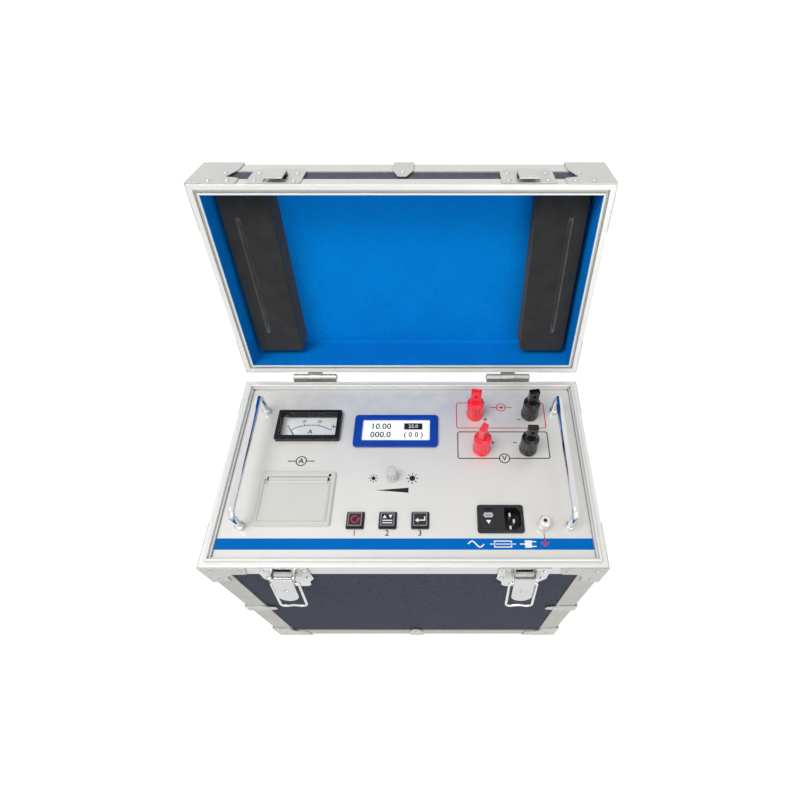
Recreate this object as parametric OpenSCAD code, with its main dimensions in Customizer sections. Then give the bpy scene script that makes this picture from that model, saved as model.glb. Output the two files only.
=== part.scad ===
// Ground bond tester: an earth-continuity test set in an aluminium-edged flight case with a hinged lid.
// Millimetres, +Z up. The origin is the centre of the case's footprint on the surface it stands on.
// Width runs along X, the front face looks along -Y, and the lid stands open as it does in use.

/* [Case] */
// Overall width of the case
case_w = 400; // [380:1:440]
// Overall depth of the case
case_d = 225; // [218:1:260]
// Height of the base from its underside to the parting plane
base_h = 320; // [300:1:380]
// Height of the lid above the parting plane
lid_h = 56; // [54:1:80]
// Angle to which the lid opens, in degrees
lid_open = 102.4; // [96:0.1:106]
// Height of the rubber feet below the case
foot_h = 8; // [6:0.5:14]

/* [Shell] */
// Thickness of the wall and floor boards
board_t = 7; // [6:0.1:8]
// Thickness of the lid's top board
lid_board_t = 5; // [4:0.1:6]
// Wall of every aluminium profile
profile_t = 1.5; // [1.2:0.1:1.8]
// Width of the angle profile on the base's edges
edge_leg = 25; // [20:0.5:30]
// Width of the angle profile on the lid's top edges
lid_edge_leg = 21.5; // [16:0.5:24]
// Depth of the base rim profile's outer flange
rim_leg = 21; // [18:0.5:24]
// Depth of the lid rim profile's outer flange
lid_rim_leg = 14; // [12:0.5:18]
// Outer radius of the angle profiles
edge_r = 3.5; // [2:0.1:5]
// Width of the tongue on the base's rim
tongue_w = 2.5; // [2:0.1:2.8]
// Height of the tongue above the parting plane
tongue_h = 3; // [2:0.1:3.5]
// Thickness of the pressed corner plates and clips
plate_t = 1; // [0.8:0.1:1.5]
// Length of a corner plate's arms
corner_arm = 46; // [38:1:56]
// Width of the clips over the edges
clip_w = 20; // [14:1:26]
// Distance of each rubber foot's centre from the case faces
foot_inset = 40; // [38:1:60]
// Radius of the rubber feet
foot_r = 12; // [9:0.5:14]

/* [Hinges] */
// Distance of the hinge axis behind the rear face
hinge_back = 7.6; // [7:0.1:9]
// Width of each hinge
hinge_w = 52; // [44:1:60]
// Distance of each hinge's centre from the case's side faces
hinge_inset = 82; // [78:1:110]
// Radius of the hinge knuckles
knuckle_r = 4; // [3.6:0.1:4.4]
// Radius of the hinge pins
hinge_pin_r = 2; // [1.5:0.1:2.2]
// Thickness of the hinge leaves
leaf_t = 1.5; // [1.2:0.1:2]

/* [Latches] */
// Distance of each latch's centre from the case's side faces
latch_inset = 81; // [80:1:110]
// Width of the latch plates across their wings
latch_w = 51; // [46:1:58]
// Distance of the lever's pin below the parting plane
lever_drop = 12; // [11:0.5:14]
// Distance of the lever's pin in front of the case
lever_out = 7; // [6.5:0.1:9]
// Length of the latch lever from its pin
lever_len = 42; // [32:0.5:44]
// Angle at which the closed lever stands off the case, in degrees
lever_tilt = 10.5; // [9:0.5:20]
// Distance of the bail's pivot from the lever's pin
bail_offset = 10; // [9:0.5:12]
// Length of the wire bail from its pivot
bail_len = 50; // [47:0.5:52]
// Radius of the bail's wire
bail_r = 1.4; // [1.2:0.1:1.6]

/* [Carrying handles] */
// Height of the side handles' pivots above the case's underside
grip_z = 205; // [180:1:230]
// Distance between the side handle's two legs
grip_span = 104; // [90:1:120]
// Drop of the side handle from its pivots
grip_drop = 46; // [40:1:56]
// Radius of the side handle's rod
grip_rod_r = 3.5; // [3:0.1:4]
// Radius of the side handle's sleeve
grip_sleeve_r = 8; // [7:0.5:9]

/* [Panel] */
// Thickness of the front panel
panel_t = 2.5; // [2:0.1:3]
// Depth of the panel's face below the parting plane
panel_drop = 3; // [2:0.1:4]
// Distance of the panel handles from the panel's side edges
handle_inset = 21.7; // [18:0.1:25]
// Distance between the two feet of a panel handle
handle_span = 141; // [120:1:144]
// Height of the panel handles above the panel
handle_h = 37; // [30:0.5:38]
// Radius of the panel handles' bar
handle_r = 3.5; // [3:0.1:3.8]
// Radius of the sleeves round the panel handles' feet
ferrule_r = 4.6; // [4.4:0.1:6]

/* [Controls] */
// Width of the analogue meter's bezel
meter_w = 73.4; // [70:0.1:76]
// Depth of the analogue meter's bezel
meter_d = 39.4; // [38:0.1:41]
// Width of the display's bezel
lcd_w = 96; // [90:0.5:100]
// Depth of the display's bezel
lcd_d = 41.6; // [40:0.1:44]
// Width of the printer's frame
printer_w = 80; // [78:0.5:84]
// Depth of the printer's frame
printer_d = 62; // [60:0.5:64]
// Width of the paper roll
paper_w = 57; // [50:0.5:58]
// Radius of the paper roll
paper_r = 20; // [12:0.5:20]
// Side of the square push buttons' caps
button_w = 15.6; // [14:0.1:16]
// Distance between the push buttons
button_pitch = 33.4; // [28:0.1:36]
// Travel of the push buttons
button_travel = 1.5; // [1:0.1:2]
// Radius of the brightness knob
knob_r = 5.6; // [5.4:0.1:7.5]
// Height of the brightness knob
knob_h = 16; // [12:0.5:18]

/* [Terminals] */
// Radius of the terminals' insulating collars
collar_r = 10; // [8.8:0.1:10.6]
// Radius of the terminals' fluted caps
cap_r = 9.6; // [8.4:0.1:10]
// Height of the terminals' caps with their paddles
cap_h = 41; // [38:0.5:42]
// Radius of the terminals' studs
stud_r = 3; // [2.5:0.1:3.2]
// Rise of a cap when it is unscrewed
cap_lift = 5; // [3:0.5:6]
// Half the distance between the two current terminals
current_x = 32; // [24:0.5:36]
// Half the distance between the two potential terminals
potential_x = 26; // [22:0.5:34]

/* [Hidden] */
$fn = 48;

// Clearances: turning fits, moving neighbours and the joints between fixed lengths
fit = 0.05;
clear = 0.3;
seam = 0.2;

part_z = foot_h + base_h;
panel_z = part_z - panel_drop;
under_z = panel_z - panel_t;
rim_w = board_t + 2 * profile_t;
rim_inner = 14;
rim_gap = 0.1;
lid_rim_land = tongue_h + 1.9;
lid_rim_inner = 9;
tongue_u = 5.5;
panel_w = case_w - 2 * rim_w - 2 * clear;
panel_d = case_d - 2 * rim_w - 2 * clear;
handle_x = panel_w / 2 - handle_inset;
hinge_x = case_w / 2 - hinge_inset;
hinge_y = case_d / 2 + hinge_back;
latch_x = case_w / 2 - latch_inset;
floor_z = foot_h + profile_t;
lining_t = 2;
pad_w = 52;
pad_d = case_d - 2 * rim_w - 15;
lid_ceiling = part_z + lid_h - profile_t - lid_board_t;
rivet_r = 2.6;
rivet_h = 1.1;
foot_screw_r = 2.5;
foot_screw_head = 4;
handle_screw_r = 2;
screw_gap = 0.2;
knuckle_w = hinge_w / 3;

// Latch: the lever's pin and ears, the bail's rest, and where its bar lies when it holds the lid
lever_w = 21;
lever_pin_r = 1.5;
ear_t = 1.2;
bail_tilt = 11;
bail_x = lever_w / 2 + clear + ear_t + clear + bail_r;
bail_bend = 4.5;
bail_kink = 13;
bail_stub = 1.5;
bail_run = bail_x - bail_bend - bail_stub;
bail_dip = bail_run * tan(bail_kink);
bail_bar_out = 3.5;
bail_pivot = [lever_out + bail_offset * sin(lever_tilt), -lever_drop - bail_offset * cos(lever_tilt)];
bail_lean = asin((bail_pivot[0] - bail_bar_out) / bail_len);
catch_low = 2;
catch_high = 38.6;
catch_top = bail_pivot[1] + (bail_len - bail_dip) * cos(bail_lean) - bail_r - clear;
catch_out = 4.7 + plate_t;

// Side handles: their pivots stand off the side boards
side_face = case_w / 2 - profile_t;
grip_plate = 1.5;
grip_out = grip_plate + grip_sleeve_r + 0.5;
lug_w = 10;

// Panel layout. The middle column stays by the middle, what stands beside it takes a share of the
// space that is free up to the handles, and the rows keep their proportion to the panel's depth.
drawn_d = 204.4;
handle_in = handle_x - ferrule_r;
button_flange = button_w + 3;
inlet_size = [48, 30.4];
function row(y) = y * panel_d / drawn_d;
function shared(low, high, width, share) = low + share * (high - low - width) + width / 2;
lcd_at = [-15, row(43.5)];
knob_at = [-15.8, row(-14.5)];
button_at = [-18, row(-63.7)];
lcd_left = lcd_at[0] - lcd_w / 2;
lcd_right = lcd_at[0] + lcd_w / 2;
keys_left = button_at[0] - button_pitch - button_flange / 2;
keys_right = button_at[0] + button_pitch + button_flange / 2;
terminal_w = 2 * (current_x + collar_r);
meter_at = [shared(-handle_in, lcd_left, meter_w, 0.415), row(50.3)];
printer_at = [shared(-handle_in, keys_left, printer_w, 0.282), row(-39.4)];
inlet_at = [shared(keys_right, handle_in, inlet_size[0], 0.5436), row(-62)];
ground_at = [inlet_at[0] + inlet_size[0] / 2 + 19.3, row(-69.3)];
current_at = [shared(lcd_right, handle_in, terminal_w, 0.71), row(67.2)];
potential_at = [current_at[0], row(20.9)];

// Chassis: a ring under the panel's edge, four posts and a tray near the floor
ring_w = 14;
ring_h = 22;
sheet_t = 2;
post_w = 14;
chassis_foot = floor_z + board_t;
tray_z = chassis_foot + 34;

// Meter: window, neck through the panel, body below, dial and needle
window_gap = 4.5;
meter_wall = 2;
bezel_h = 7;
glass_t = 1.5;
meter_pivot = [0, -36.8];
meter_body_y = [-44.8, 22.2];
meter_neck = 1.3;
dial_z = under_z - 3.5;
needle_z = dial_z + 0.6;
needle_rest = 33;
meter_pin_r = 0.8;
meter_deep = 30;

// Display
lcd_open = [lcd_w - 18.4, lcd_d - 13.4];
lcd_bezel_h = 5;

// Printer: the well, the door's hinge axis, the roll's spindle and the platen
printer_flange_h = 3;
printer_wall = 2;
well = [paper_w + 10, 50];
well_y = -0.5;
well_deep = 52;
door_pin_r = 1.2;
door_pin_len = 9;
door_axis = [printer_d / 2 - 12, panel_z + 1.2];
door_w = printer_w - 9;
door_front = -printer_d / 2 + 5.4;
spindle_r = 5;
roll_at = [-1.1, panel_z - 26];
platen_r = 4;
platen_shaft_r = 1.5;
platen_at = [door_front + 5, panel_z - 3.6];

// Buttons, knob and fuse drawer
knob_shaft_r = 3;
button_flange_h = 1.2;
button_body = button_w + 4 * clear + 0.6;
button_h = 3.5;
button_deep = 20;
knob_body_deep = 12;
inlet_body_size = inlet_size - [4, 3.8];
inlet_deep = 30;
socket_at = [12.5, 0];
socket_size = [17, 24.5];
socket_deep = 17;
drawer_at = [-12.5, 0];
drawer_size = [15, 21];
drawer_deep = 24;

// Terminals: collar, clamping insert inside the cap, barrel and paddle above
collar_h = 6;
bush_r = 5;
insert_r = 5;
insert_h = 12;
barrel_h = 21;
paddle = [11.5, 6.5];
stud_top = panel_z + collar_h + insert_h + cap_lift + 5;
thread_fit = 0.03;
stud_tail = 16;
nut_t = 4.4;
nut_r = 5.6;
washer_t = 1.2;
post_r = 6;
post_h = 14;
cross_r = 2.1;
cross_z = 33;

// Inside: the wound transformer on the left, the heat sink by the middle, the main board on the right
coil_hole = 16;
coil = [34, 62];
sink_size = [34, 120, 40];
board_left = 20;
main_board = [panel_w / 2 - board_left - ring_w - 5.7, panel_d - 54.4];

// Shared shapes
module mirror_x() {
    children();
    mirror([1, 0, 0]) children();
}

module mirror_y() {
    children();
    mirror([0, 1, 0]) children();
}

// The lid is drawn closed and turned about its hinge axis to where it stands open
module lid_pose() {
    translate([0, hinge_y, part_z]) rotate([-lid_open, 0, 0]) translate([0, -hinge_y, -part_z]) children();
}

// A section drawn as (inwards, upwards) and drawn out along X
module along_x(length) {
    rotate([90, 0, 90]) linear_extrude(length, center = true) children();
}

// An outline drawn in X and Z that stands off towards the front
module on_front(thickness) {
    rotate([90, 0, 0]) linear_extrude(thickness) children();
}

// Four lengths of one section round a rectangle, with mitred corners
module mitred_frame(width, depth, reach, low, high) {
    for (k = [0:3]) {
        length = k % 2 == 0 ? width : depth;
        half = (k % 2 == 0 ? depth : width) / 2;
        rotate([0, 0, 90 * k]) translate([0, -half, 0]) intersection() {
            along_x(length) children();
            translate([0, 0, low]) linear_extrude(high - low) polygon([
                [-length / 2 + seam / 2, 0], [length / 2 - seam / 2, 0],
                [length / 2 - reach - seam / 2, reach], [-length / 2 + reach + seam / 2, reach]
            ]);
        }
    }
}

// An angle with a rounded outer corner
module angle_section(leg, wall, radius) {
    difference() {
        union() {
            translate([radius, 0]) square([leg - radius, leg]);
            translate([0, radius]) square([leg, leg - radius]);
            translate([radius, radius]) circle(radius);
        }
        translate([wall, wall]) square(leg);
    }
}

module rounded(width, depth, radius) {
    square([width - 2 * radius, depth], center = true);
    square([width, depth - 2 * radius], center = true);
    for (x = [-1, 1], y = [-1, 1])
        translate([x * (width / 2 - radius), y * (depth / 2 - radius)]) circle(radius);
}

module rounded_block(width, depth, height, radius) {
    linear_extrude(height) rounded(width, depth, radius);
}

// A rivet's head, standing off along +Z
module rivet() {
    cylinder(h = rivet_h, r1 = rivet_r, r2 = rivet_r * 0.62);
}

// A bend of round bar in the XZ plane, from one angle round by another
module bar_bend(bend, radius, from, sweep) {
    rotate([90, 0, 0]) rotate([0, 0, from])
        rotate_extrude(angle = sweep) translate([bend, 0]) circle(radius);
}

// A quarter bend in the YZ plane
module quarter_bend(bend, radius, from) {
    rotate([0, 0, 90]) bar_bend(bend, radius, from, 90);
}

// A U of round bar with its feet on Z = 0 and its run along Y
module u_bar(span, height, radius, bend) {
    mirror_y() {
        translate([0, span / 2, 0]) cylinder(h = height - bend, r = radius);
        translate([0, span / 2 - bend, height - bend]) quarter_bend(bend, radius, 0);
    }
    translate([0, 0, height]) rotate([90, 0, 0])
        cylinder(h = span - 2 * bend, r = radius, center = true);
}

// Case shell
module wall_boards(low, high, width, depth) {
    side_x = width / 2 - profile_t - board_t;
    front_y = depth / 2 - profile_t - board_t;
    mirror_x() translate([side_x, -depth / 2 + profile_t, low])
        cube([board_t, depth - 2 * profile_t, high - low]);
    mirror_y() translate([-side_x + seam, -depth / 2 + profile_t, low])
        cube([2 * (side_x - seam), board_t, high - low]);
}

module case_wall_boards() color("#3f434b")
    wall_boards(floor_z, part_z - profile_t, case_w, case_d);

module case_floor_board() color("#3f434b") {
    inner = [case_w, case_d] - 2 * (profile_t + board_t + seam) * [1, 1];
    difference() {
        translate([-inner[0] / 2, -inner[1] / 2, floor_z]) cube([inner[0], inner[1], board_t]);
        for (x = [-1, 1], y = [-1, 1])
            translate([x * (case_w / 2 - foot_inset), y * (case_d / 2 - foot_inset), floor_z - 1])
                cylinder(h = board_t + 2, r = foot_screw_r + screw_gap);
    }
}

module rim_section_base() {
    translate([0, -rim_leg]) square([profile_t, rim_leg]);
    translate([0, -profile_t]) square([rim_w, profile_t]);
    translate([rim_w - profile_t, -rim_inner]) square([profile_t, rim_inner]);
    polygon([
        [tongue_u, -profile_t / 2], [tongue_u, tongue_h - 0.8], [tongue_u + 0.6, tongue_h],
        [tongue_u + tongue_w - 0.6, tongue_h], [tongue_u + tongue_w, tongue_h - 0.8],
        [tongue_u + tongue_w, -profile_t / 2]
    ]);
}

module rim_section_lid() {
    difference() {
        union() {
            square([profile_t, lid_rim_leg]);
            square([rim_w, lid_rim_land]);
            translate([rim_w - profile_t, 0]) square([profile_t, lid_rim_inner]);
        }
        translate([-1, -1]) square([rim_w + 2, 1 + rim_gap]);
        translate([tongue_u - clear, -1]) square([tongue_w + 2 * clear, tongue_h + clear + 1]);
        polygon([[rim_w - 1.2, -1], [rim_w + 1, -1], [rim_w + 1, 1.2]]);
        polygon([[1, -1], [-1, -1], [-1, 1]]);
    }
}

module base_rim_profiles() color("#c9cac7")
    translate([0, 0, part_z]) mitred_frame(case_w, case_d, rim_w, -rim_leg, tongue_h) rim_section_base();

module corner_lengths(leg, low, high) {
    for (x = [0, 1], y = [0, 1]) mirror([x, 0, 0]) mirror([0, y, 0])
        translate([-case_w / 2, -case_d / 2, low]) linear_extrude(high - low)
            angle_section(leg, profile_t, edge_r);
}

module base_edge_profiles() color("#c9cac7") {
    translate([0, 0, foot_h]) mitred_frame(case_w, case_d, edge_leg, 0, edge_leg)
        angle_section(edge_leg, profile_t, edge_r);
    corner_lengths(edge_leg, foot_h + edge_leg + seam, part_z - rim_leg - seam);
}

// A pressed plate on one face of a corner: two arms with a slanting inner edge and three rivets
module corner_leaf(arm, width) {
    on_front(plate_t) polygon([
        [-plate_t, 0], [arm, 0], [arm - 4, width - 2], [width + 6, width - 1],
        [width - 1, width + 6], [width - 2, arm - 4], [-plate_t, arm]
    ]);
    for (p = [[width * 0.42, width * 0.45], [arm - 9, width * 0.5], [width * 0.42, arm - 9]])
        translate([p[0], -plate_t, p[1]]) rotate([90, 0, 0]) rivet();
}

// Both upright faces of one corner
module corner_pair(arm, width) {
    corner_leaf(arm, width);
    mirror([1, -1, 0]) corner_leaf(arm, width);
}

// The third face of a corner, which lies across the ends of the other two
module corner_end(arm, width) {
    mirror([0, 1, -1]) translate([0, 0, -plate_t]) corner_leaf(arm, width);
}

module each_corner() {
    for (x = [0, 1], y = [0, 1]) mirror([x, 0, 0]) mirror([0, y, 0])
        translate([-case_w / 2, -case_d / 2, 0]) children();
}

// A clip over an edge that tapers past the angle profile beneath it, with one rivet
module clip_leaf(leg) {
    length = leg + 16;
    on_front(plate_t) winged_outline([
        [0, -plate_t], [clip_w / 2, -plate_t], [clip_w / 2, leg],
        [4.5, length - 1], [3.5, length], [0, length]
    ]);
    translate([0, -plate_t, length - 11]) rotate([90, 0, 0]) rivet();
}

module edge_clip(leg) {
    clip_leaf(leg);
    mirror([0, 1, -1]) clip_leaf(leg);
}

module base_corner_fittings() color("#d3d4d2") {
    each_corner() {
        translate([0, 0, part_z - 1]) mirror([0, 0, 1]) corner_pair(corner_arm, rim_leg);
        translate([0, 0, foot_h]) {
            corner_pair(corner_arm, edge_leg);
            corner_end(corner_arm, edge_leg);
        }
        translate([0, 0, foot_h + base_h / 2]) rotate([0, 90, 0]) edge_clip(edge_leg - 5);
    }
    mirror_y() translate([0, -case_d / 2, foot_h]) edge_clip(edge_leg - 5);
}

module rubber_feet() color("#222222")
    for (x = [-1, 1], y = [-1, 1])
        translate([x * (case_w / 2 - foot_inset), y * (case_d / 2 - foot_inset), 0]) difference() {
            cylinder(h = floor_z, r1 = foot_r - 1.5, r2 = foot_r);
            translate([0, 0, -1]) cylinder(h = foot_screw_head + 1, r = 2 * foot_screw_r + screw_gap);
            cylinder(h = floor_z + 1, r = foot_screw_r + screw_gap);
        }

// A pan-head screw that points up, with its head's underside on Z = 0
module screw(radius, length) {
    translate([0, 0, -radius]) cylinder(h = radius, r1 = radius * 1.7, r2 = radius * 2);
    cylinder(h = length, r = radius);
}

module case_screws() color("#b8b9b8") {
    for (x = [-1, 1], y = [-1, 1])
        translate([x * (case_w / 2 - foot_inset), y * (case_d / 2 - foot_inset), foot_screw_head])
            screw(foot_screw_r, floor_z + board_t - foot_screw_head);
    mirror_x() mirror_y() translate([handle_x, handle_span / 2, under_z])
        screw(handle_screw_r, panel_t + 8);
}

// Hinges, drawn about their own axis: the leaf lies against the case behind it
module hinge_section(reach) {
    circle(knuckle_r);
    polygon([
        [-hinge_back, 5], [-hinge_back, 10], [leaf_t - hinge_back, 10],
        [-0.5, knuckle_r - 0.1], [0.1 - knuckle_r, 0.8], [leaf_t - hinge_back, 5]
    ]);
    translate([-hinge_back, 5]) square([leaf_t, reach - 5]);
}

module knuckle(offset, width, reach) {
    translate([offset, 0, 0]) rotate([90, 0, 90]) linear_extrude(width, center = true) difference() {
        hinge_section(reach);
        circle(hinge_pin_r + fit);
    }
}

module hinge_leaf(reach) {
    translate([-hinge_w / 2, -hinge_back, 8]) cube([hinge_w, leaf_t, reach - 8]);
    for (x = [-1, 1], z = [15, reach - 6])
        translate([x * (hinge_w / 2 - 8), leaf_t - hinge_back, z]) rotate([-90, 0, 0]) rivet();
}

module at_hinges() {
    mirror_x() translate([hinge_x, hinge_y, part_z]) children();
}

module hinge_base_leaves() color("#b9bab8") at_hinges() mirror([0, 0, 1]) {
    width = knuckle_w - clear / 2;
    reach = 38;
    hinge_leaf(reach);
    // Joggle that brings the lower half back to the board
    translate([-hinge_w / 2, -hinge_back - profile_t, rim_leg + clear])
        cube([hinge_w, profile_t + leaf_t / 2, reach - rim_leg - clear]);
    mirror_x() knuckle((hinge_w - width) / 2, width, 20);
    rotate([0, 90, 0]) cylinder(h = hinge_w + 2, r = hinge_pin_r, center = true);
}

module hinge_lid_leaves() color("#b9bab8") lid_pose() at_hinges() {
    width = knuckle_w - clear;
    hinge_leaf(38);
    knuckle(0, width, 20);
    // Heel that meets the base leaf when the lid is fully open
    rotate([lid_open, 0, 0]) rotate([90, 0, 90]) linear_extrude(width, center = true) polygon([
        [clear - knuckle_r, -1], [leaf_t - hinge_back + clear, -6], [leaf_t - hinge_back + clear, -10.5],
        [leaf_t - hinge_back + 1.3, -10.5], [-1, clear - knuckle_r]
    ]);
}

// Latches, drawn about the parting line on the front face
module at_latches() {
    mirror_x() translate([latch_x, -case_d / 2, part_z]) children();
}

module at_latch(side) {
    translate([side * latch_x, -case_d / 2, part_z]) children();
}

// A section drawn as (outwards, upwards) and drawn out along X
module out_section(width) {
    along_x(width) mirror([1, 0]) children();
}

module winged_outline(half_outline) {
    polygon(half_outline);
    mirror([1, 0]) polygon(half_outline);
}

module latch_plate_outline() winged_outline([
    [0, -1], [latch_w / 2, -1], [latch_w / 2, -34], [latch_w / 2 - 1.5, -37], [latch_w / 2 - 6, -45],
    [latch_w / 2 - 7, -56], [latch_w / 2 - 11, -61], [0, -61]
]);

module latch_plates() color("#c4c5c3") at_latches() {
    on_front(plate_t) latch_plate_outline();
    translate([0, profile_t, 0]) on_front(profile_t + plate_t / 2) intersection() {
        latch_plate_outline();
        translate([-latch_w, -rim_leg - clear - case_w]) square([2 * latch_w, case_w]);
    }
    mirror_x() translate([lever_w / 2 + clear + ear_t / 2, 0, 0]) out_section(ear_t) {
        translate([plate_t / 2, -lever_drop - 4.5]) square([lever_out - plate_t / 2, 8.5]);
        translate([lever_out, -lever_drop]) circle(3.6);
    }
    translate([0, -lever_out, -lever_drop]) rotate([0, 90, 0])
        cylinder(h = lever_w + 2 * (clear + ear_t), r = lever_pin_r, center = true);
    for (p = [[-1, -9], [1, -9], [-1, -31], [1, -31]])
        translate([p[0] * (latch_w / 2 - 5), -plate_t, p[1]]) rotate([90, 0, 0]) rivet();
}

module at_lever(side) {
    at_latch(side) translate([0, -lever_out, -lever_drop]) rotate([-lever_tilt, 0, 0]) children();
}

module latch_lever(side) color("#d0d1cf") at_lever(side) {
    flange_t = 1.2;
    tongue_t = 1.5;
    tongue_out = 2.2;
    end_r = lever_w / 2;
    difference() {
        union() {
            translate([0, -tongue_out, 0]) on_front(tongue_t) {
                translate([-lever_w / 2, end_r - lever_len]) square([lever_w, lever_len - end_r + 3]);
                translate([0, end_r - lever_len]) circle(end_r);
            }
            mirror_x() translate([(lever_w - flange_t) / 2, 0, 0]) out_section(flange_t) {
                circle(3);
                translate([0, -bail_offset]) circle(3);
                translate([-3, -bail_offset]) square([3 + tongue_out + tongue_t, bail_offset]);
                translate([0, -bail_offset - 3]) square([tongue_out + tongue_t, bail_offset + 6]);
            }
        }
        rotate([0, 90, 0]) cylinder(h = case_w, r = lever_pin_r + fit, center = true);
        translate([0, 0, -bail_offset]) rotate([0, 90, 0])
            cylinder(h = case_w, r = bail_r + fit, center = true);
    }
    translate([0, -tongue_out - tongue_t, -lever_len / 2]) rotate([90, 0, 0]) rivet();
}

module latch_lever_left() latch_lever(-1);
module latch_lever_right() latch_lever(1);

module latch_bail(side) color("#d6d7d5")
    at_lever(side) translate([0, 0, -bail_offset]) rotate([lever_tilt - bail_tilt, 0, 0]) mirror_x() {
        eye = 2.5;
        end_x = lever_w / 2 - 2;
        lap = 0.3;
        bar = bail_run / cos(bail_kink) + 0.7 * bail_r * tan(bail_kink);
        translate([end_x, 0, 0]) rotate([0, 90, 0]) cylinder(h = bail_x - eye - end_x, r = bail_r);
        translate([bail_x - eye, 0, -eye]) bar_bend(eye, bail_r, 0, 90);
        translate([bail_x, 0, bail_bend - bail_len]) cylinder(h = bail_len - bail_bend - eye, r = bail_r);
        translate([bail_x - bail_bend, 0, bail_bend - bail_len]) {
            bar_bend(bail_bend, bail_r, -90, 90);
            translate([0, 0, -bail_bend]) rotate([0, -90, 0]) cylinder(h = bail_stub + lap, r = bail_r);
            translate([-bail_stub, 0, -bail_bend]) rotate([0, bail_kink - 90, 0])
                translate([0, 0, -lap]) cylinder(h = bar + lap, r = bail_r);
        }
    }

module latch_bail_left() latch_bail(-1);
module latch_bail_right() latch_bail(1);

module latch_catches() color("#c9cac7") lid_pose() at_latches() {
    tongue_half = 9.5;
    gauge = 1.2;
    slot_low = catch_low + 2.5;
    difference() {
        on_front(plate_t) winged_outline([
            [0, catch_low], [latch_w / 2 - 1, catch_low], [latch_w / 2, catch_low + 1], [latch_w / 2, 31],
            [latch_w / 2 - 5, catch_high], [0, catch_high]
        ]);
        translate([-tongue_half - 0.5, -catch_out, slot_low])
            cube([2 * tongue_half + 1, 2 * catch_out, catch_top - gauge - slot_low]);
    }
    out_section(2 * tongue_half) polygon([
        [0, catch_top], [catch_out - 2.5, catch_top], [catch_out - 0.8, catch_top - 0.8],
        [catch_out, catch_top - 2.5], [catch_out, catch_low],
        [catch_out - gauge, catch_low], [catch_out - gauge, catch_top - 2.5 - gauge / 2],
        [catch_out - 2.5 - gauge / 2, catch_top - gauge], [0, catch_top - gauge]
    ]);
    for (x = [-1, 1], z = [8, 27])
        translate([x * (latch_w / 2 - 7), -plate_t, z]) rotate([90, 0, 0]) rivet();
}

// Side handles, drawn on the right side about their pivots
module at_side(side) {
    mirror([side < 0 ? 1 : 0, 0, 0]) translate([side_face, 0, foot_h + grip_z]) children();
}

module side_handle_brackets() color("#c4c5c3") for (side = [-1, 1]) at_side(side) {
    plate_y = grip_span + 3 * lug_w;
    rotate([90, 0, 90]) linear_extrude(grip_plate) rounded(plate_y, 36, 6);
    mirror_y() translate([0, grip_span / 2, 0]) rotate([-90, 0, 0]) linear_extrude(lug_w, center = true)
        difference() {
            union() {
                translate([grip_out, 0]) circle(grip_rod_r + 3);
                translate([grip_plate / 2, -grip_rod_r - 3])
                    square([grip_out - grip_plate / 2, 2 * (grip_rod_r + 3)]);
            }
            translate([grip_out, 0]) circle(grip_rod_r + fit);
        }
    for (y = [-1, 1], z = [-1, 1]) translate([grip_plate, y * (plate_y / 2 - 5), z * 12])
        rotate([0, 90, 0]) rivet();
}

// A bent rod that hangs from the lugs, with a sleeve round its lower run
module side_handle(side) color("#2a2b2d") at_side(side) translate([grip_out, 0, 0]) {
    bend = 8;
    leg_y = grip_span / 2 - lug_w / 2 - bend - 0.5;
    sleeve = 2 * (leg_y - bend) - 2;
    mirror_y() {
        translate([0, leg_y + bend, 0]) rotate([-90, 0, 0])
            cylinder(h = grip_span / 2 + lug_w / 2 + 1 - leg_y - bend, r = grip_rod_r);
        translate([0, leg_y + bend, -bend]) quarter_bend(bend, grip_rod_r, 90);
        translate([0, leg_y, -grip_drop + bend]) cylinder(h = grip_drop - 2 * bend, r = grip_rod_r);
        translate([0, leg_y - bend, -grip_drop + bend]) quarter_bend(bend, grip_rod_r, -90);
    }
    translate([0, 0, -grip_drop]) rotate([90, 0, 0]) {
        cylinder(h = 2 * (leg_y - bend), r = grip_rod_r, center = true);
        difference() {
            union() {
                cylinder(h = sleeve - 4, r = grip_sleeve_r, center = true);
                cylinder(h = sleeve, r = grip_sleeve_r - 1.5, center = true);
            }
            cylinder(h = sleeve + 1, r = grip_rod_r + seam, center = true);
        }
    }
}

module side_handle_left() side_handle(-1);
module side_handle_right() side_handle(1);

// Lid, drawn closed
module lid_boards() color("#3f434b") lid_pose() {
    inner = [case_w, case_d] - 2 * (profile_t + board_t + seam) * [1, 1];
    wall_boards(part_z + lid_rim_land, part_z + lid_h - profile_t, case_w, case_d);
    translate([-inner[0] / 2, -inner[1] / 2, lid_ceiling]) cube([inner[0], inner[1], lid_board_t]);
}

module lid_rim_profiles() color("#c9cac7") lid_pose()
    translate([0, 0, part_z]) mitred_frame(case_w, case_d, rim_w, 0, lid_rim_leg) rim_section_lid();

module lid_edge_profiles() color("#c9cac7") lid_pose() {
    translate([0, 0, part_z + lid_h]) mirror([0, 0, 1])
        mitred_frame(case_w, case_d, lid_edge_leg, 0, lid_edge_leg)
            angle_section(lid_edge_leg, profile_t, edge_r);
    corner_lengths(lid_edge_leg, part_z + lid_rim_leg + seam, part_z + lid_h - lid_edge_leg - seam);
}

// One face of a lid corner: the plate runs the lid's whole height, with a notch over the board
module lid_corner_leaf() {
    upper_arm = corner_arm - 6;
    notch = corner_arm - 13.5;
    low = 1;
    edge_low = lid_h - lid_edge_leg;
    on_front(plate_t) polygon([
        [-plate_t, low], [corner_arm, low], [corner_arm, lid_rim_leg], [notch, lid_rim_leg + 4],
        [upper_arm - 1, edge_low], [upper_arm, edge_low + 4], [upper_arm, lid_h], [-plate_t, lid_h]
    ]);
    for (p = [[19.5, 8], [notch + 4.5, 8.5], [notch - 2.5, lid_h / 2]])
        translate([p[0], -plate_t, p[1]]) rotate([90, 0, 0]) rivet();
}

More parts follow.
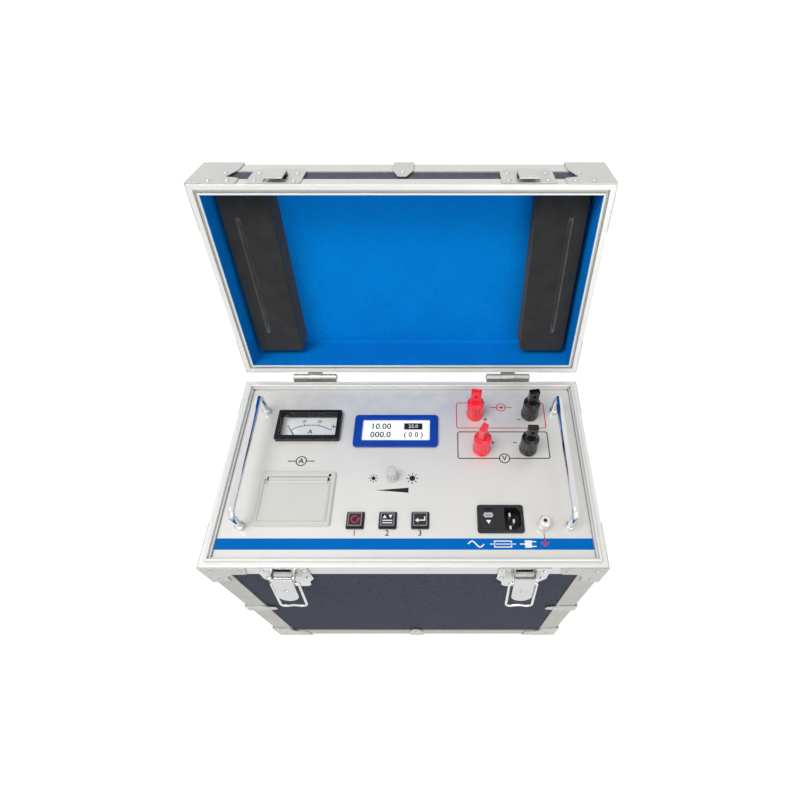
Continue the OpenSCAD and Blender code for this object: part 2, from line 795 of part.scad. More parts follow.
module lid_corner_fittings() color("#d3d4d2") lid_pose() {
    each_corner() translate([0, 0, part_z]) {
        lid_corner_leaf();
        mirror([1, -1, 0]) lid_corner_leaf();
        translate([0, 0, lid_h]) mirror([0, 0, 1]) corner_end(corner_arm - 6, lid_edge_leg + 3);
    }
    mirror_y() translate([0, -case_d / 2, part_z + lid_h]) mirror([0, 0, 1]) edge_clip(lid_edge_leg);
}

module lid_lining() color("#0d6cc4") lid_pose() {
    outer = [case_w, case_d] - 2 * (profile_t + board_t) * [1, 1];
    low = part_z + lid_rim_inner;
    difference() {
        translate([-outer[0] / 2, -outer[1] / 2, low]) cube([outer[0], outer[1], lid_ceiling - low]);
        translate([-outer[0] / 2 + lining_t, -outer[1] / 2 + lining_t, low - 1])
            cube([outer[0] - 2 * lining_t, outer[1] - 2 * lining_t, lid_ceiling - low - lining_t + 1]);
    }
}

// Foam pads that close over the panel handles, each with a slit for its bar. The right one has a
// pocket in its inner edge where the terminals' caps reach it.
module lid_pads() color("#1c1c1e") lid_pose() {
    face = part_z + 20;
    top = lid_ceiling - lining_t;
    centre = handle_x - 10;
    slit = handle_r + 0.5;
    slit_low = -handle_span / 2 - handle_r - 4.5;
    slit_high = handle_span / 2 + handle_r + 2;
    pocket_x = current_at[0] + current_x + cap_r + 1;
    pocket_y = [potential_at[1] - cap_r - 8, current_at[1] + cap_r + 1];
    pocket_z = panel_z + collar_h + cap_h + 2.5;
    difference() {
        mirror_x() difference() {
            translate([centre, 0, face]) rounded_block(pad_w, pad_d, top - face, 4);
            translate([handle_x - slit, slit_low, face - 1])
                cube([2 * slit, slit_high - slit_low, panel_z + handle_h + 2.2 - face + 1]);
        }
        translate([centre - pad_w, pocket_y[0], face - 1])
            cube([pocket_x - centre + pad_w, pocket_y[1] - pocket_y[0], pocket_z - face]);
    }
}

// Panel
module on_panel(at) {
    translate([at[0], at[1], 0]) children();
}

module each_button() {
    for (k = [-1, 0, 1])
        on_panel([button_at[0] + k * button_pitch, button_at[1]]) children();
}

module each_terminal() {
    for (side = [-1, 1]) {
        on_panel([current_at[0] + side * current_x, current_at[1]]) children();
        on_panel([potential_at[0] + side * potential_x, potential_at[1]]) children();
    }
}

// A straight-sided opening through the panel
module panel_opening(at, size, radius) {
    on_panel(at) translate([0, 0, under_z - 1]) rounded_block(size[0], size[1], panel_t + 2, radius);
}

module panel_bore(radius) {
    translate([0, 0, under_z - 1]) cylinder(h = panel_t + 2, r = radius);
}

module panel_plate() color("#dcdbd6") difference() {
    translate([0, 0, under_z]) rounded_block(panel_w, panel_d, panel_t, 2);
    neck = (meter_neck + clear) * [1, 1];
    panel_opening(meter_at, [meter_w, meter_d] - 2 * window_gap * [1, 1] + 2 * neck, 1);
    panel_opening(lcd_at, lcd_open + 2 * neck, 2);
    panel_opening([printer_at[0], printer_at[1] + well_y], well + 2 * (printer_wall + clear) * [1, 1], 1);
    panel_opening(inlet_at, inlet_body_size + 2 * clear * [1, 1], 2);
    on_panel(knob_at) panel_bore(4.6);
    on_panel(ground_at) panel_bore(bush_r + seam);
    each_button() translate([0, 0, under_z - 1])
        rounded_block(button_body + 2 * clear, button_body + 2 * clear, panel_t + 2, 0.5);
    each_terminal() panel_bore(bush_r + seam);
    for (x = [-1, 1], y = [-1, 1])
        translate([x * handle_x, y * handle_span / 2, 0]) panel_bore(handle_screw_r + screw_gap);
}

module panel_handles() color("#e4e5e6") mirror_x() translate([handle_x, 0, panel_z]) difference() {
    union() {
        u_bar(handle_span, handle_h - handle_r, handle_r, 8);
        mirror_y() translate([0, handle_span / 2, 0]) {
            cylinder(h = 6.2, r = ferrule_r);
            translate([0, 0, 6.2]) cylinder(h = 0.8, r1 = ferrule_r, r2 = ferrule_r - 0.8);
        }
    }
    mirror_y() translate([0, handle_span / 2, -1]) cylinder(h = 10, r = handle_screw_r + fit);
}

module chassis_frame() color("#a9abab") {
    top = under_z;
    outer = [panel_w, panel_d];
    difference() {
        translate([-outer[0] / 2, -outer[1] / 2, top - ring_h]) cube([outer[0], outer[1], ring_h]);
        translate([-outer[0] / 2 + ring_w, -outer[1] / 2 + ring_w, top - ring_h - 1])
            cube([outer[0] - 2 * ring_w, outer[1] - 2 * ring_w, ring_h + 2]);
        translate([-outer[0] / 2 + sheet_t, -outer[1] / 2 + sheet_t, top - ring_h - 1])
            cube([outer[0] - 2 * sheet_t, outer[1] - 2 * sheet_t, ring_h + 1 - sheet_t]);
    }
    for (x = [0, 1], y = [0, 1]) mirror([x, 0, 0]) mirror([0, y, 0])
        translate([-outer[0] / 2, -outer[1] / 2, chassis_foot]) linear_extrude(top - chassis_foot)
            angle_section(post_w, sheet_t, sheet_t);
    translate([-outer[0] / 2, -outer[1] / 2, tray_z - sheet_t]) cube([outer[0], outer[1], sheet_t]);
}

// Analogue meter
module meter_housing() color("#17181a") on_panel(meter_at) {
    open = [meter_w, meter_d] - 2 * window_gap * [1, 1];
    body_d = meter_body_y[1] - meter_body_y[0];
    glass = open + 2 * [1, 1];
    difference() {
        union() {
            translate([0, 0, panel_z]) {
                rounded_block(meter_w, meter_d, bezel_h - 1.5, 2);
                rounded_block(meter_w - 3, meter_d - 3, bezel_h, 1.5);
            }
            translate([0, 0, under_z - 1.5])
                rounded_block(open[0] + 2 * meter_neck, open[1] + 2 * meter_neck, panel_t + 2, 1);
        }
        translate([0, 0, under_z - 2]) rounded_block(open[0], open[1], bezel_h + 10, 1);
        translate([0, 0, panel_z + 2])
            rounded_block(glass[0] + 2 * seam, glass[1] + 2 * seam, glass_t + 2 * seam, 1);
    }
    translate([-meter_w / 2, meter_body_y[0], under_z - seam - meter_deep]) difference() {
        cube([meter_w, body_d, meter_deep]);
        translate([meter_wall, meter_wall, meter_wall])
            cube([meter_w - 2 * meter_wall, body_d - 2 * meter_wall, meter_deep]);
    }
}

module meter_window() color("#dfe9ee") on_panel(meter_at) {
    open = [meter_w, meter_d] - 2 * window_gap * [1, 1];
    translate([0, 0, panel_z + 2 + seam]) rounded_block(open[0] + 2, open[1] + 2, glass_t, 1);
}

module meter_movement() color("#f2f2ee") on_panel(meter_at) {
    inner_d = meter_body_y[1] - meter_body_y[0] - 2 * meter_wall;
    low = under_z - seam - meter_deep + meter_wall;
    translate([0, (meter_body_y[0] + meter_body_y[1]) / 2, dial_z - 1])
        rounded_block(meter_w - 2 * meter_wall - 1, inner_d - 1, 1, 2);
    translate([meter_pivot[0], meter_pivot[1], low]) {
        translate([-16, -5, 0]) cube([32, 28, dial_z - 1 - low]);
        cylinder(h = needle_z + 1.2 - low, r = meter_pin_r);
    }
}

module meter_needle() color("#1a1a1a") on_panel(meter_at)
    translate([meter_pivot[0], meter_pivot[1], needle_z]) rotate([0, 0, needle_rest]) difference() {
        union() {
            cylinder(h = 0.8, r = 2.6);
            linear_extrude(0.8) polygon([[-1, -5], [1, -5], [0.7, 0], [0.35, 45], [-0.35, 45], [-0.7, 0]]);
        }
        translate([0, 0, -1]) cylinder(h = 3, r = meter_pin_r + fit);
    }

// Display
module lcd_bezel() color("#1d3c86") on_panel(lcd_at) difference() {
    union() {
        translate([0, 0, panel_z]) {
            rounded_block(lcd_w, lcd_d, lcd_bezel_h - 1.5, 4);
            rounded_block(lcd_w - 3, lcd_d - 3, lcd_bezel_h, 3.5);
        }
        translate([0, 0, under_z]) rounded_block(lcd_open[0] + 2 * meter_neck, lcd_open[1] + 2 * meter_neck,
            panel_t + 1, 2);
    }
    translate([0, 0, under_z - 1]) rounded_block(lcd_open[0], lcd_open[1], panel_t + lcd_bezel_h + 2, 1);
}

module lcd_window() color("#e9edf0") on_panel(lcd_at) translate([0, 0, under_z])
    rounded_block(lcd_open[0] - 2 * clear, lcd_open[1] - 2 * clear, panel_t + 2.4, 0.8);

module circuit_board(width, depth, pillar, below) {
    board_th = 1.6;
    rounded_block(width, depth, board_th, 2);
    for (x = [-1, 1], y = [-1, 1])
        translate([x * (width / 2 - 5), y * (depth / 2 - 5), below ? board_th / 2 : board_th / 2 - pillar])
            cylinder(h = pillar, r = 3);
}

module circuit_boards() color("#2f6b3a") {
    display_pillar = 9;
    on_panel(lcd_at) {
        translate([0, 0, under_z - display_pillar - 0.8])
            circuit_board(lcd_w - 4, lcd_d + 4.4, display_pillar, true);
        translate([0, 0, under_z - display_pillar])
            rounded_block(lcd_open[0] - 5.6, lcd_open[1] - 2.2, display_pillar, 1);
    }
    translate([board_left + main_board[0] / 2, 0, tray_z + 12]) {
        circuit_board(main_board[0], main_board[1], 12.8, false);
        for (k = [-1, 0, 1])
            translate([k * 30, 45, 1]) cylinder(h = 34, r = 11);
        translate([-60, -50, 1]) cube([40, 28, 16]);
        translate([10, -60, 1]) cube([50, 34, 22]);
    }
}

// Panel printer
module printer_frame() color("#d8d8d3") on_panel(printer_at) {
    outer = well + 2 * printer_wall * [1, 1];
    difference() {
        union() {
            translate([0, 0, panel_z]) {
                rounded_block(printer_w, printer_d, printer_flange_h - 1, 3);
                rounded_block(printer_w - 2, printer_d - 2, printer_flange_h, 2.5);
            }
            translate([-outer[0] / 2, well_y - outer[1] / 2, panel_z - well_deep])
                cube([outer[0], outer[1], well_deep + 1]);
        }
        translate([-well[0] / 2, well_y - well[1] / 2, panel_z - well_deep + printer_wall])
            cube([well[0], well[1], well_deep + 10]);
        // Recess in the flange for the door
        translate([-door_w / 2 - clear, door_front - clear, panel_z + 0.6])
            cube([door_w + 2 * clear, door_axis[0] + 3 - door_front + clear, 10]);
    }
    translate([0, roll_at[0], roll_at[1]]) rotate([0, 90, 0])
        cylinder(h = well[0] + printer_wall, r = spindle_r, center = true);
    // Stub pins in the frame's sides for the door
    mirror_x() translate([door_w / 2 - door_pin_len, door_axis[0], door_axis[1]]) rotate([0, 90, 0])
        cylinder(h = door_pin_len + 1, r = door_pin_r);
}

module printer_door() color("#dcdcd7") on_panel(printer_at) {
    top_z = panel_z + printer_flange_h + 0.6;
    under = panel_z + 1.4;
    ear_x = paper_w / 2 + 2;
    barrel = well[0] - 4;
    difference() {
        union() {
            translate([-door_w / 2, door_front, under]) cube([door_w, door_axis[0] - 2 - door_front, 1.6]);
            translate([-door_w / 2 + 1.5, door_front + 1.2, under])
                cube([door_w - 3, door_axis[0] - 5 - door_front, top_z - under]);
            translate([0, door_axis[0], door_axis[1]]) rotate([0, 90, 0])
                cylinder(h = barrel, r = 2.2, center = true);
            translate([-barrel / 2, door_axis[0] - 3, under]) cube([barrel, 7.8, 1.6]);
            mirror_x() translate([ear_x, platen_at[0] - 4, platen_at[1] - 3])
                cube([2.2, 9, under - platen_at[1] + 4]);
        }
        translate([0, door_axis[0], door_axis[1]]) rotate([0, 90, 0])
            cylinder(h = door_w + 2, r = door_pin_r + fit, center = true);
        translate([0, platen_at[0], platen_at[1]]) rotate([0, 90, 0])
            cylinder(h = door_w + 2, r = platen_shaft_r + fit, center = true);
    }
}

module platen_roller() color("#333436") on_panel(printer_at)
    translate([0, platen_at[0], platen_at[1]]) rotate([0, 90, 0]) {
        cylinder(h = paper_w + 2, r = platen_r, center = true);
        cylinder(h = paper_w + 9, r = platen_shaft_r, center = true);
    }

module paper_roll() color("#f4f3ef") on_panel(printer_at)
    translate([0, roll_at[0], roll_at[1]]) rotate([0, 90, 0]) difference() {
        cylinder(h = paper_w, r = paper_r, center = true);
        cylinder(h = paper_w + 2, r = spindle_r + fit, center = true);
    }

// Print head on the well's front wall, hollowed behind to clear the roll
module printer_mechanism() color("#8b8d8f") on_panel(printer_at) difference() {
    front = well_y - well[1] / 2;
    head_top = platen_at[1] - platen_r - clear;
    translate([-paper_w / 2, front, head_top - 14]) cube([paper_w, 9, 14]);
    translate([0, roll_at[0], roll_at[1]]) rotate([0, 90, 0])
        cylinder(h = paper_w + 2, r = paper_r + 1, center = true);
}

// Knob, buttons and what they work
module brightness_knob() color("#b9bcbc") on_panel(knob_at) translate([0, 0, panel_z + clear])
    difference() {
        union() {
            cylinder(h = 2, r = knob_r + 0.75);
            translate([0, 0, 2]) cylinder(h = knob_h - 3, r1 = knob_r, r2 = knob_r - 0.3);
            translate([0, 0, knob_h - 1]) cylinder(h = 1, r1 = knob_r - 0.3, r2 = knob_r - 1.3);
            translate([-0.8, 0, 2]) cube([1.6, knob_r + 0.4, knob_h - 3.5]);
        }
        for (k = [1:11])
            rotate([0, 0, 90 + 30 * k]) translate([knob_r + 0.4, 0, 3.5]) cylinder(h = knob_h, r = 1.1);
        translate([0, 0, -1]) cylinder(h = 11, r = knob_shaft_r + fit);
    }

module control_bodies() color("#55585c") {
    on_panel(knob_at) {
        translate([0, 0, under_z - knob_body_deep]) cylinder(h = knob_body_deep, r = knob_r + 2);
        translate([0, 0, under_z - 1]) cylinder(h = panel_t + 1, r = 4.5);
        translate([0, 0, panel_z - 1]) cylinder(h = clear + 9.5, r = knob_shaft_r);
    }
    each_button() difference() {
        union() {
            translate([0, 0, panel_z])
                rounded_block(button_flange, button_flange, button_flange_h, 1.5);
            translate([-button_body / 2, -button_body / 2, under_z - button_deep])
                cube([button_body, button_body, panel_t + button_deep + 0.5]);
        }
        translate([-button_w / 2 - clear, -button_w / 2 - clear, panel_z - 10])
            cube([button_w + 2 * clear, button_w + 2 * clear, 20]);
    }
}

module push_button(place) color("#232427")
    on_panel([button_at[0] + place * button_pitch, button_at[1]])
        translate([0, 0, panel_z - 10 + button_travel + clear]) {
            height = 10 - button_travel - clear + button_flange_h + button_h;
            rounded_block(button_w, button_w, height - 0.8, 1);
            rounded_block(button_w - 1.6, button_w - 1.6, height, 0.6);
        }

module button_left() push_button(-1);
module button_middle() push_button(0);
module button_right() push_button(1);

// Mains inlet with its fuse drawer
module socket_outline(size) {
    cut = 5;
    polygon([
        [-size[0] / 2, -size[1] / 2], [size[0] / 2 - cut, -size[1] / 2], [size[0] / 2, -size[1] / 2 + cut],
        [size[0] / 2, size[1] / 2 - cut], [size[0] / 2 - cut, size[1] / 2], [-size[0] / 2, size[1] / 2]
    ]);
}

module inlet_body() color("#2a2c2f") on_panel(inlet_at) difference() {
    union() {
        translate([0, 0, panel_z]) {
            rounded_block(inlet_size[0], inlet_size[1], 1.6, 3);
            rounded_block(inlet_size[0] - 1.6, inlet_size[1] - 1.6, 2.4, 2.4);
        }
        translate([0, 0, panel_z - inlet_deep])
            rounded_block(inlet_body_size[0], inlet_body_size[1], inlet_deep + 1, 1.5);
    }
    translate([socket_at[0], socket_at[1], panel_z - socket_deep])
        linear_extrude(socket_deep + 5) socket_outline(socket_size);
    translate([drawer_at[0], drawer_at[1], panel_z - drawer_deep])
        rounded_block(drawer_size[0] + 2 * clear, drawer_size[1] + 2 * clear, drawer_deep + 5, 0.8);
    each_pin() cube([2 + 2 * fit, 4 + 2 * fit, 80], center = true);
}

module each_pin() {
    for (p = [[-2, 7], [-2, -7], [2, 0]])
        translate([socket_at[0] + p[0], socket_at[1] + p[1], panel_z - socket_deep]) children();
}

module inlet_pins() color("#c9b06a") on_panel(inlet_at) each_pin()
    translate([-1, -2, -22]) cube([2, 4, 34]);

module fuse_drawer() color("#232528") on_panel(inlet_at)
    translate([drawer_at[0], drawer_at[1], panel_z - drawer_deep + clear]) difference() {
        rounded_block(drawer_size[0], drawer_size[1], drawer_deep - clear + 2.8, 0.8);
        translate([-drawer_size[0] / 2 - 1, -3.4, 3]) cube([drawer_size[0] - 2, 6.8, 15]);
        translate([0, drawer_size[1] / 2 + 1, drawer_deep + 0.6]) rotate([0, 90, 0])
            cylinder(h = 9, r = 3, center = true);
    }

// Terminals
module collar(at) {
    on_panel(at) difference() {
        union() {
            translate([0, 0, panel_z]) cylinder(h = collar_h - 1, r = collar_r);
            translate([0, 0, panel_z + collar_h - 1]) cylinder(h = 1, r1 = collar_r, r2 = collar_r - 1);
            translate([0, 0, under_z]) cylinder(h = panel_t + 1, r = bush_r);
        }
        translate([0, 0, under_z - 1]) cylinder(h = 20, r = stud_r + fit);
    }
}

function terminal_at(kind, side) = kind == "current"
    ? [current_at[0] + side * current_x, current_at[1]]
    : [potential_at[0] + side * potential_x, potential_at[1]];

module terminal_collars_red() color("#a31d22") {
    collar(terminal_at("current", -1));
    collar(terminal_at("potential", -1));
}

module terminal_collars_black() color("#1b1b1c") {
    collar(terminal_at("current", 1));
    collar(terminal_at("potential", 1));
}

// Studs with their nuts and washers below the panel, and the earth post
module terminal_studs() color("#b99a55") {
    each_terminal() {
        translate([0, 0, under_z - stud_tail]) cylinder(h = stud_top - under_z + stud_tail, r = stud_r);
        translate([0, 0, under_z - washer_t]) cylinder(h = washer_t, r = nut_r + 1.4);
        translate([0, 0, under_z - washer_t - nut_t + 0.1]) cylinder(h = nut_t, r = nut_r, $fn = 6);
    }
    on_panel(ground_at) difference() {
        union() {
            translate([0, 0, under_z - stud_tail]) cylinder(h = stud_tail + panel_t + 3, r = stud_r);
            translate([0, 0, under_z - nut_t]) cylinder(h = nut_t, r = nut_r, $fn = 6);
            translate([0, 0, panel_z]) cylinder(h = 2, r = post_r + 0.4, $fn = 6);
            translate([0, 0, panel_z + 2]) cylinder(h = post_h - 2, r = post_r);
            translate([0, 0, panel_z + post_h]) cylinder(h = 1.5, r1 = post_r, r2 = post_r - 1.5);
        }
        translate([0, 0, panel_z + 3.5]) cylinder(h = post_h, r = cross_r - 0.1);
    }
}

module clamp_insert(kind, side) color("#c9a75a") on_panel(terminal_at(kind, side))
    translate([0, 0, panel_z + collar_h + clear]) difference() {
        cylinder(h = insert_h, r = insert_r);
        translate([0, 0, -1]) cylinder(h = insert_h + 2, r = stud_r + thread_fit);
    }

module current_insert_red() clamp_insert("current", -1);
module current_insert_black() clamp_insert("current", 1);
module potential_insert_red() clamp_insert("potential", -1);
module potential_insert_black() clamp_insert("potential", 1);

// A fluted barrel with a flat paddle above it and a cross hole for a plug pin
module terminal_cap(kind, side, turn) on_panel(terminal_at(kind, side))
    translate([0, 0, panel_z + collar_h + clear]) rotate([0, 0, turn]) {
        flutes = 14;
        height = cap_h - clear;
        difference() {
            union() {
                cylinder(h = barrel_h - 3, r = cap_r);
                translate([0, 0, barrel_h - 3]) cylinder(h = 3, r1 = cap_r, r2 = paddle[0] / 2 + 0.6);
                translate([0, 0, barrel_h - 1])
                    rounded_block(paddle[0], paddle[1], height - barrel_h, 1.2);
                translate([0, 0, barrel_h - 1])
                    rounded_block(paddle[0] - 1.6, paddle[1] - 1.6, height - barrel_h + 1, 0.8);
            }
            for (k = [0:flutes - 1]) rotate([0, 0, 360 / flutes * k])
                translate([cap_r + 0.45, 0, 2]) cylinder(h = barrel_h, r = 1.1);
            translate([0, 0, -1]) cylinder(h = insert_h + clear + 1, r = insert_r + fit);
            translate([0, 0, -1]) cylinder(h = 25, r = stud_r + thread_fit);
            translate([0, 0, cross_z]) rotate([90, 0, 0]) cylinder(h = 20, r = cross_r, center = true);
        }
    }

module current_cap_red() color("#b3161d") terminal_cap("current", -1, -8);
module current_cap_black() color("#1b1b1c") terminal_cap("current", 1, 8);
module potential_cap_red() color("#b3161d") terminal_cap("potential", -1, 60);
module potential_cap_black() color("#1b1b1c") terminal_cap("potential", 1, 0);

// Inside the case
module transformer() color("#8a5a34") translate([-panel_w / 4, 5, tray_z]) {
    bolt_r = 4;
    corner = 8;
    rotate_extrude() translate([coil_hole + coil[0] / 2, coil[1] / 2]) rounded(coil[0], coil[1], corner);
    translate([0, 0, coil[1] + seam]) difference() {
        cylinder(h = 2, r = coil_hole + coil[0] * 0.6);
        translate([0, 0, -1]) cylinder(h = 4, r = bolt_r + seam);
    }
    cylinder(h = coil[1] + 4, r = bolt_r);
    translate([0, 0, coil[1] + seam + 2 + seam]) cylinder(h = 6, r = 7.5, $fn = 6);
}

module heat_sink() color("#34363a") translate([-10, 5, tray_z]) {
    fins = 9;
    fin = 1.8;
    translate([-sink_size[0] / 2, -sink_size[1] / 2, 0]) {
        cube([sink_size[0], sink_size[1], 5]);
        for (k = [0:fins - 1]) translate([k * (sink_size[0] - fin) / (fins - 1), 0, 4])
            cube([fin, sink_size[1], sink_size[2] - 4]);
    }
}

case_wall_boards();
case_floor_board();
base_rim_profiles();
base_edge_profiles();
base_corner_fittings();
rubber_feet();
case_screws();
hinge_base_leaves();
latch_plates();
latch_lever_left();
latch_lever_right();
latch_bail_left();
latch_bail_right();
side_handle_brackets();
side_handle_left();
side_handle_right();
lid_boards();
lid_rim_profiles();
lid_edge_profiles();
lid_corner_fittings();
hinge_lid_leaves();
latch_catches();
lid_lining();
lid_pads();
panel_plate();
panel_handles();
chassis_frame();
meter_housing();
meter_window();
meter_movement();
meter_needle();
lcd_bezel();
lcd_window();
circuit_boards();
printer_frame();
printer_door();
platen_roller();
paper_roll();
printer_mechanism();
brightness_knob();
control_bodies();
button_left();
button_middle();
button_right();
inlet_body();
inlet_pins();
fuse_drawer();
terminal_collars_red();
terminal_collars_black();
terminal_studs();
current_insert_red();
current_insert_black();
potential_insert_red();
potential_insert_black();
current_cap_red();
current_cap_black();
potential_cap_red();
potential_cap_black();
transformer();
heat_sink();
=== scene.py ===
"""Dressed scene of a ground bond tester in its flight case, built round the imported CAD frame."""

from __future__ import annotations

import logging
import math
from collections.abc import Iterable, Sequence
from dataclasses import dataclass, field
from enum import Enum
from functools import cached_property

import bmesh
import bpy
from mathutils import Matrix, Vector


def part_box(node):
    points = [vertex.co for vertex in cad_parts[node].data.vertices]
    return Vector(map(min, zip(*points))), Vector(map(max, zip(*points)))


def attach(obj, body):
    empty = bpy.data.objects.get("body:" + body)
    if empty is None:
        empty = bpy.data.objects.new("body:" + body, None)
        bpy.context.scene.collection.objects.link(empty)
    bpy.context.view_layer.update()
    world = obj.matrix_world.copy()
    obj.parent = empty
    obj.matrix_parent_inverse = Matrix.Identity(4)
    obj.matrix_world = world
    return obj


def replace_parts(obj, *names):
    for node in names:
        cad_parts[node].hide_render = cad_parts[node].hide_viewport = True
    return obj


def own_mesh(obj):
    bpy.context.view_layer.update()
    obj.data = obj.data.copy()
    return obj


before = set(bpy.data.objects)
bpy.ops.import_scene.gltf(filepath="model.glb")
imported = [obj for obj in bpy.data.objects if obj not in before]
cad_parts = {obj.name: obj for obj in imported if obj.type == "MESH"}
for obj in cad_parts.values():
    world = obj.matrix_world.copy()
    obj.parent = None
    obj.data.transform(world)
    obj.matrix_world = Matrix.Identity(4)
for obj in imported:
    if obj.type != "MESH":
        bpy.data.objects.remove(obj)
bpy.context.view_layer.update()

log = logging.getLogger("ground_bond_tester")
MM = 0.001
PRINT_H = 0.06
FONT_PER_HEIGHT = 1.4
FONT_WEIGHT = 0.02
SHADER_RAYS = 4
MITRE_LIMIT = 0.4
DOT_SIDES = 24
WHITE = (1.0, 1.0, 1.0, 1.0)

Mesh = bmesh.types.BMesh
Socket = bpy.types.NodeSocket
Point = Sequence[float]
Inputs = dict[str | int, object]
Wear = dict[str, tuple[str, ...]]


@dataclass(frozen=True)
class Layout:
    """Sizes that several pieces share, in millimetres, as the part's source has them."""

    case_w: float = 400.0
    case_d: float = 225.0
    part_z: float = 328.0
    lid_open: float = 102.4
    hinge_y: float = 120.1
    panel_z: float = 325.0
    board_face: float = 8.5
    lining_low: float = 337.0
    lid_ceiling: float = 377.5
    pad_x: float = 158.0
    handle_x: float = 168.0

    def lid_matrix(self) -> Matrix:
        """Turn the closed lid open about its hinge axis.

        Returns:
            The turn, in millimetres.
        """
        axis = Vector((0.0, self.hinge_y, self.part_z))
        turn = Matrix.Rotation(math.radians(-self.lid_open), 4, "X")
        return Matrix.Translation(axis) @ turn @ Matrix.Translation(-axis)


LAYOUT = Layout()


class Space(Enum):
    """The frame in which a pattern runs square to the piece."""

    CASE = "case"
    LID = "lid"


class Streak(Enum):
    """The way that drawn or brushed lines run over a metal piece."""

    NONE = "none"
    ALONG_X = "x"
    ALONG_Y = "y"
    FRAME = "frame"


def linear(code: str, gain: float = 1.0) -> tuple[float, float, float, float]:
    """Turn a written colour into scene values.

    Args:
        code: The colour as six hexadecimal digits.
        gain: A factor on its brightness.

    Returns:
        Red, green, blue and alpha as the shader reads them.
    """
    parts = [int(code[k : k + 2], 16) / 255 for k in (0, 2, 4)]
    lit = [p / 12.92 if p <= 0.04045 else ((p + 0.055) / 1.055) ** 2.4 for p in parts]
    return (*[min(1.0, p * gain) for p in lit], 1.0)


